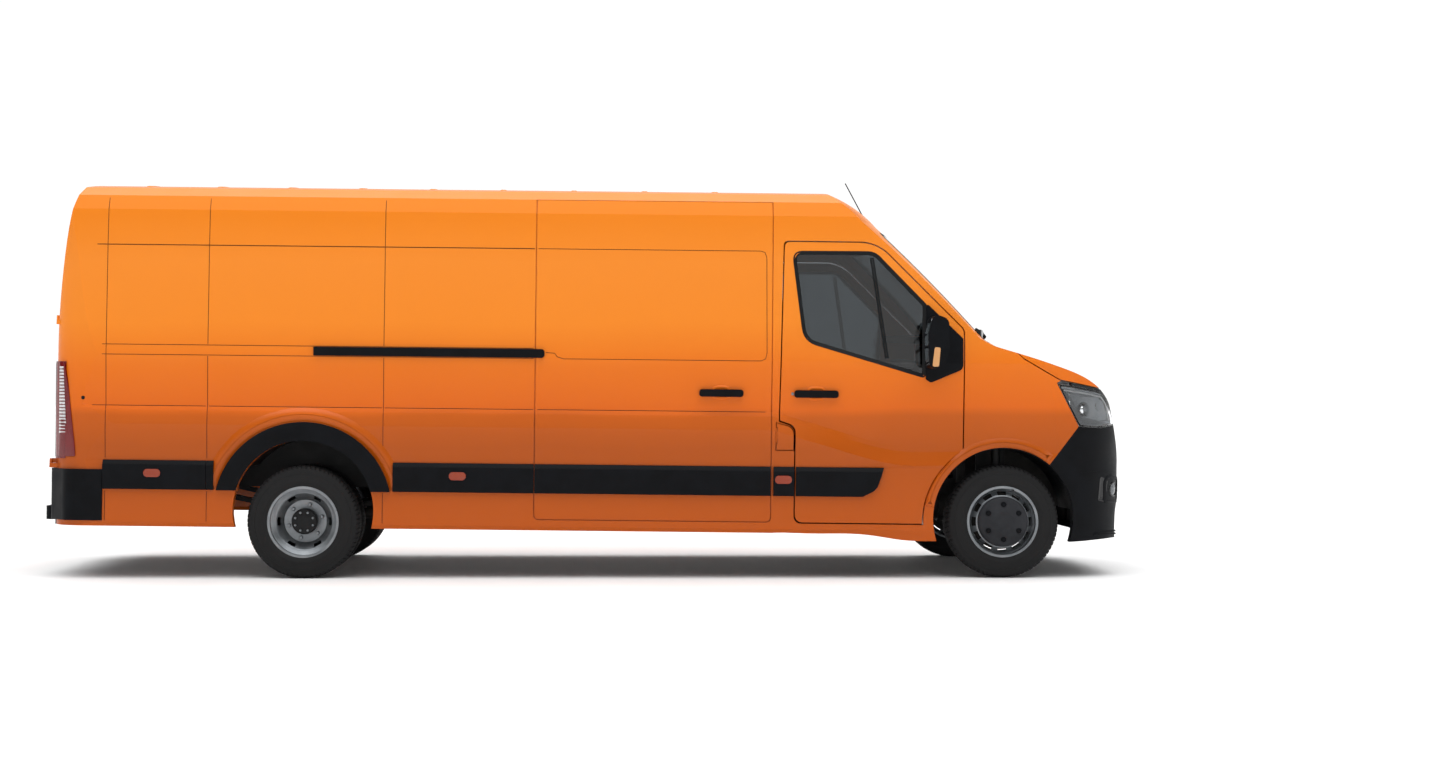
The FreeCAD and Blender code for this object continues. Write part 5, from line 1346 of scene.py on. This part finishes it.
# %% Tail lamps and step
lamp_sides = ["tail_lamps", "side_wall_right"]
side_lamp = [
    (-3284, 1278, 6), (-3240, 1280, 20), (-3216, 1150), (-3192, 950), (-3168, 770), (-3162, 692, 14),
    (-3284, 690, 6),
]
side_lamp_rim = [(0, -1), (2, 6), (6, 9)]
lamp_rib_rim = [(0, 8), (1, 12), (3, 13)]
lamp_rib_places = range(836, 1237, 20)
lamp_rib_height = 14
lamp_rib_proud = 13
lamp_top_z = 1256
lamp_slope = 0.06
tail_lamp_edge = oblong(-880, -940, 690, 1270, 8)
tail_lamp_rim = bead(6, 1.5)
tread_places = range(-640, 641, 160)
tread_half_width = 62
tread_rim = [(0, -1), (1, 1.5), (3, 2)]
red_side = laid("side", lamp_sides, side_lamp, side_lamp_rim, [(0.35, 10), (0.7, 10)])
pair("tail_lamp_side", [red_side], red_lens)
ribs = []
for z in lamp_rib_places:
    reach = 14 + (lamp_top_z - z) * lamp_slope
    top = z + lamp_rib_height
    field = [(-3278, z, 3), (-3262 + reach, z, 3), (-3264 + reach, top, 3), (-3278, top, 3)]
    ribs.append(plate("side", lamp_sides, field, lamp_rib_rim, lamp_rib_proud))
pair("tail_lamp_reversing_ribs", ribs, frosted_white)
pair("tail_lamp_rim", [laid("rear", ["tail_lamps"], tail_lamp_edge, tail_lamp_rim)], seal_rubber)
treads = []
for y in tread_places:
    field = oblong(-3416, -3360, y - tread_half_width, y + tread_half_width, 6)
    treads.append(plate("top", ["rear_bumper"], field, tread_rim, height=2))
piece("rear_step_treads", treads, seal_rubber)
print("lamp ribs:", len(ribs), "step treads:", len(treads))

# %% [markdown]
# ## Seats
# Seats are moulded foam under woven cloth, with sewn channels that hold the cover down. A pad is a rounded
# block whose faces crown outwards and whose channels pull in. The driver sits on the left, beside a double
# bench. Together the pads stand for the plain seats of the frame.

# %% Seats
seat_rows = {"driver": (190, 680, (-0.5, 0.5)), "bench": (-800, 110, (-0.72, -0.28, 0, 0.28, 0.72))}
seat_places = {"driver": 1, "bench": 2}
pad_gap = 12
cushion_form = (1672, 944, 520, 118)
back_form = (1362, 1245, 112, 640)
headrest_form = (1293, 1652, 84, 200)
headrest_width = 244
pedestal_form = (1640, 748, 430, 276)
pedestal_inset = 70
post_offsets = (-55, 55)
post_ends = ((1300, 1540), (1297, 1600))
post_radius = 7


def across(form, y, width, **kind):
    """A rounded block round a place y of the cab, from its (x, z, length, height)."""
    x, z, length, height = form
    return soft_box((x, y, z), (length, width, height), **kind)


pads, bases = [], []
for row, (y0, y1, channels) in seat_rows.items():
    middle = (y0 + y1) / 2
    width = y1 - y0 - pad_gap
    places = seat_places[row]
    centres = [y0 + (y1 - y0) * (k + 0.5) / places for k in range(places)]
    sewn = {"power": 5, "channels": channels, "steps": 28}
    cushion = across(cushion_form, middle, width, crown=14, **sewn)
    back = across(back_form, middle, width, lean=-0.155, **sewn)
    soft = {"power": 4, "crown": 6, "steps": 14, "lean": -0.08}
    heads = [across(headrest_form, y, headrest_width, **soft) for y in centres]
    for kind, shapes in (("_cushion", [cushion]), ("_back", [back]), ("_headrests", heads)):
        pad = piece(row + kind, shapes, woven_cloth)
        pads.append(pad)
    bases.append(across(pedestal_form, middle, y1 - y0 - pedestal_inset, power=14, steps=10))
    for y in [centre + offset for centre in centres for offset in post_offsets]:
        bases.append(swept([level(x, y, z) for x, z in post_ends], post_radius))
pedestal = piece("seat_pedestals", bases, dash_plastic)
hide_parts("cab_seats")
for pad in pads:
    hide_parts("cab_seats")
print("pads:", len(pads))

# %% [markdown]
# ## Dashboard details
# Through the side glass the eye meets the hood over the dials, the air vents, a screen and the gear lever.
# The first three are hard mouldings with rounded edges, so the block function for the pads makes them too.
# The lever is a swept bar with a turned knob.

# %% Dashboard details
binnacle_form = (2165, 1345, 150, 60)
binnacle_y = 430
binnacle_width = 330
vent_form = (2092, 1215, 26, 62)
vent_places = (-740, -330, 150, 700)
vent_width = 130
screen_form = (2084, 1235, 10, 120)
screen_y = -60
screen_width = 210
lever_radius = 9
knob_section = [(0, -24), (14, -22), (22, -8), (24, 6), (18, 20), (0, 25)]
knob_middle = (2056, 60, 1100)
lever_path = [(2120, 60, 1000), (2075, 60, 1060), (2060, 60, 1085)]
details = [across(binnacle_form, binnacle_y, binnacle_width, crown=6, steps=10, lean=0.1)]
details += [across(vent_form, y, vent_width, power=8, steps=6, lean=0.1) for y in vent_places]
piece("dash_binnacle_and_vents", details, dash_plastic)
screen = across(screen_form, screen_y, screen_width, power=12, steps=4, lean=0.12)
piece("dash_screen", [screen], gloss_black)
lever = [swept([level(*p) for p in lever_path], lever_radius), turned(knob_section, level(*knob_middle))]
piece("gear_lever", lever, gloss_black)
print("cab pieces made")

# %% [markdown]
# ## Floor
# The van stands on a seamless white studio floor, far wider than the picture. It lies at the lowest point of
# the tyres, which is measured and not typed in, so the wheels stand on it whatever the van's height.

# %% Floor
floor_half_size = 600
floor_mesh = bpy.data.meshes.new("studio_floor")
floor_edit = bmesh.new()
bmesh.ops.create_grid(floor_edit, x_segments=32, y_segments=32, size=floor_half_size)
floor_edit.to_mesh(floor_mesh)
floor_edit.free()
studio_floor = bpy.data.objects.new("studio_floor", floor_mesh)
bpy.context.collection.objects.link(studio_floor)
studio_floor.location.z = min(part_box("front_tyre_right")[0][2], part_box("rear_tyres_right")[0][2])
white_floor, floor_tree, floor_shader, floor_place = new_surface("white_floor_paint", {"Roughness": 0.7})
two_tones(floor_tree, floor_shader, grain(floor_tree, floor_place, 800), "#F2F2F2", "#F6F6F6")
floor_mesh.materials.append(white_floor)
print("floor height:", round(studio_floor.location.z, 5))

# %% [markdown]
# ## Light
# A big soft box overhead gives the roof its pale line and lets the sides darken gently towards the sills,
# and a second one fills the side that the camera sees. A pale world stands for white studio walls. It is
# bright at the horizon and overhead and dim between, which is what draws the light bands on the paint.

# %% Light
dome_bands = [(0.0, 1.04), (0.2, 1.04), (0.28, 0.15), (0.6, 0.25), (0.8, 2.5), (1.0, 2.7)]
dome_stops = [(z, (light, light, light, 1)) for z, light in dome_bands]
world = bpy.data.worlds.new("white_studio")
bpy.context.scene.world = world
world.use_nodes = True
dome_tree = world.node_tree
dome_place = add_node(dome_tree, "ShaderNodeTexCoord")
dome_split = add_node(dome_tree, "ShaderNodeSeparateXYZ", None, {"Vector": (dome_place, "Generated")})
dome_light = dome_tree.nodes["Background"].inputs["Color"]
tone_ramp(dome_tree, (dome_split, "Z"), dome_light, dome_stops)


def light_box(name, place, aim, width, height, power):
    """A rectangular studio light at place, pointing at aim."""
    data = bpy.data.lights.new(name, "AREA")
    data.shape = "RECTANGLE"
    data.size = width
    data.size_y = height
    data.energy = power
    light = bpy.data.objects.new(name, data)
    bpy.context.collection.objects.link(light)
    light.location = place
    light.rotation_euler = (Vector(aim) - Vector(place)).to_track_quat("-Z", "Y").to_euler()


light_box("overhead_box", place=(0, -2.5, 6.5), aim=(0, 0, 1), width=11, height=3, power=90)
light_box("camera_side_box", place=(1, -10, 6.5), aim=(0, 0, 1.4), width=12, height=3, power=40)
bpy.context.scene.view_settings.view_transform = "Standard"
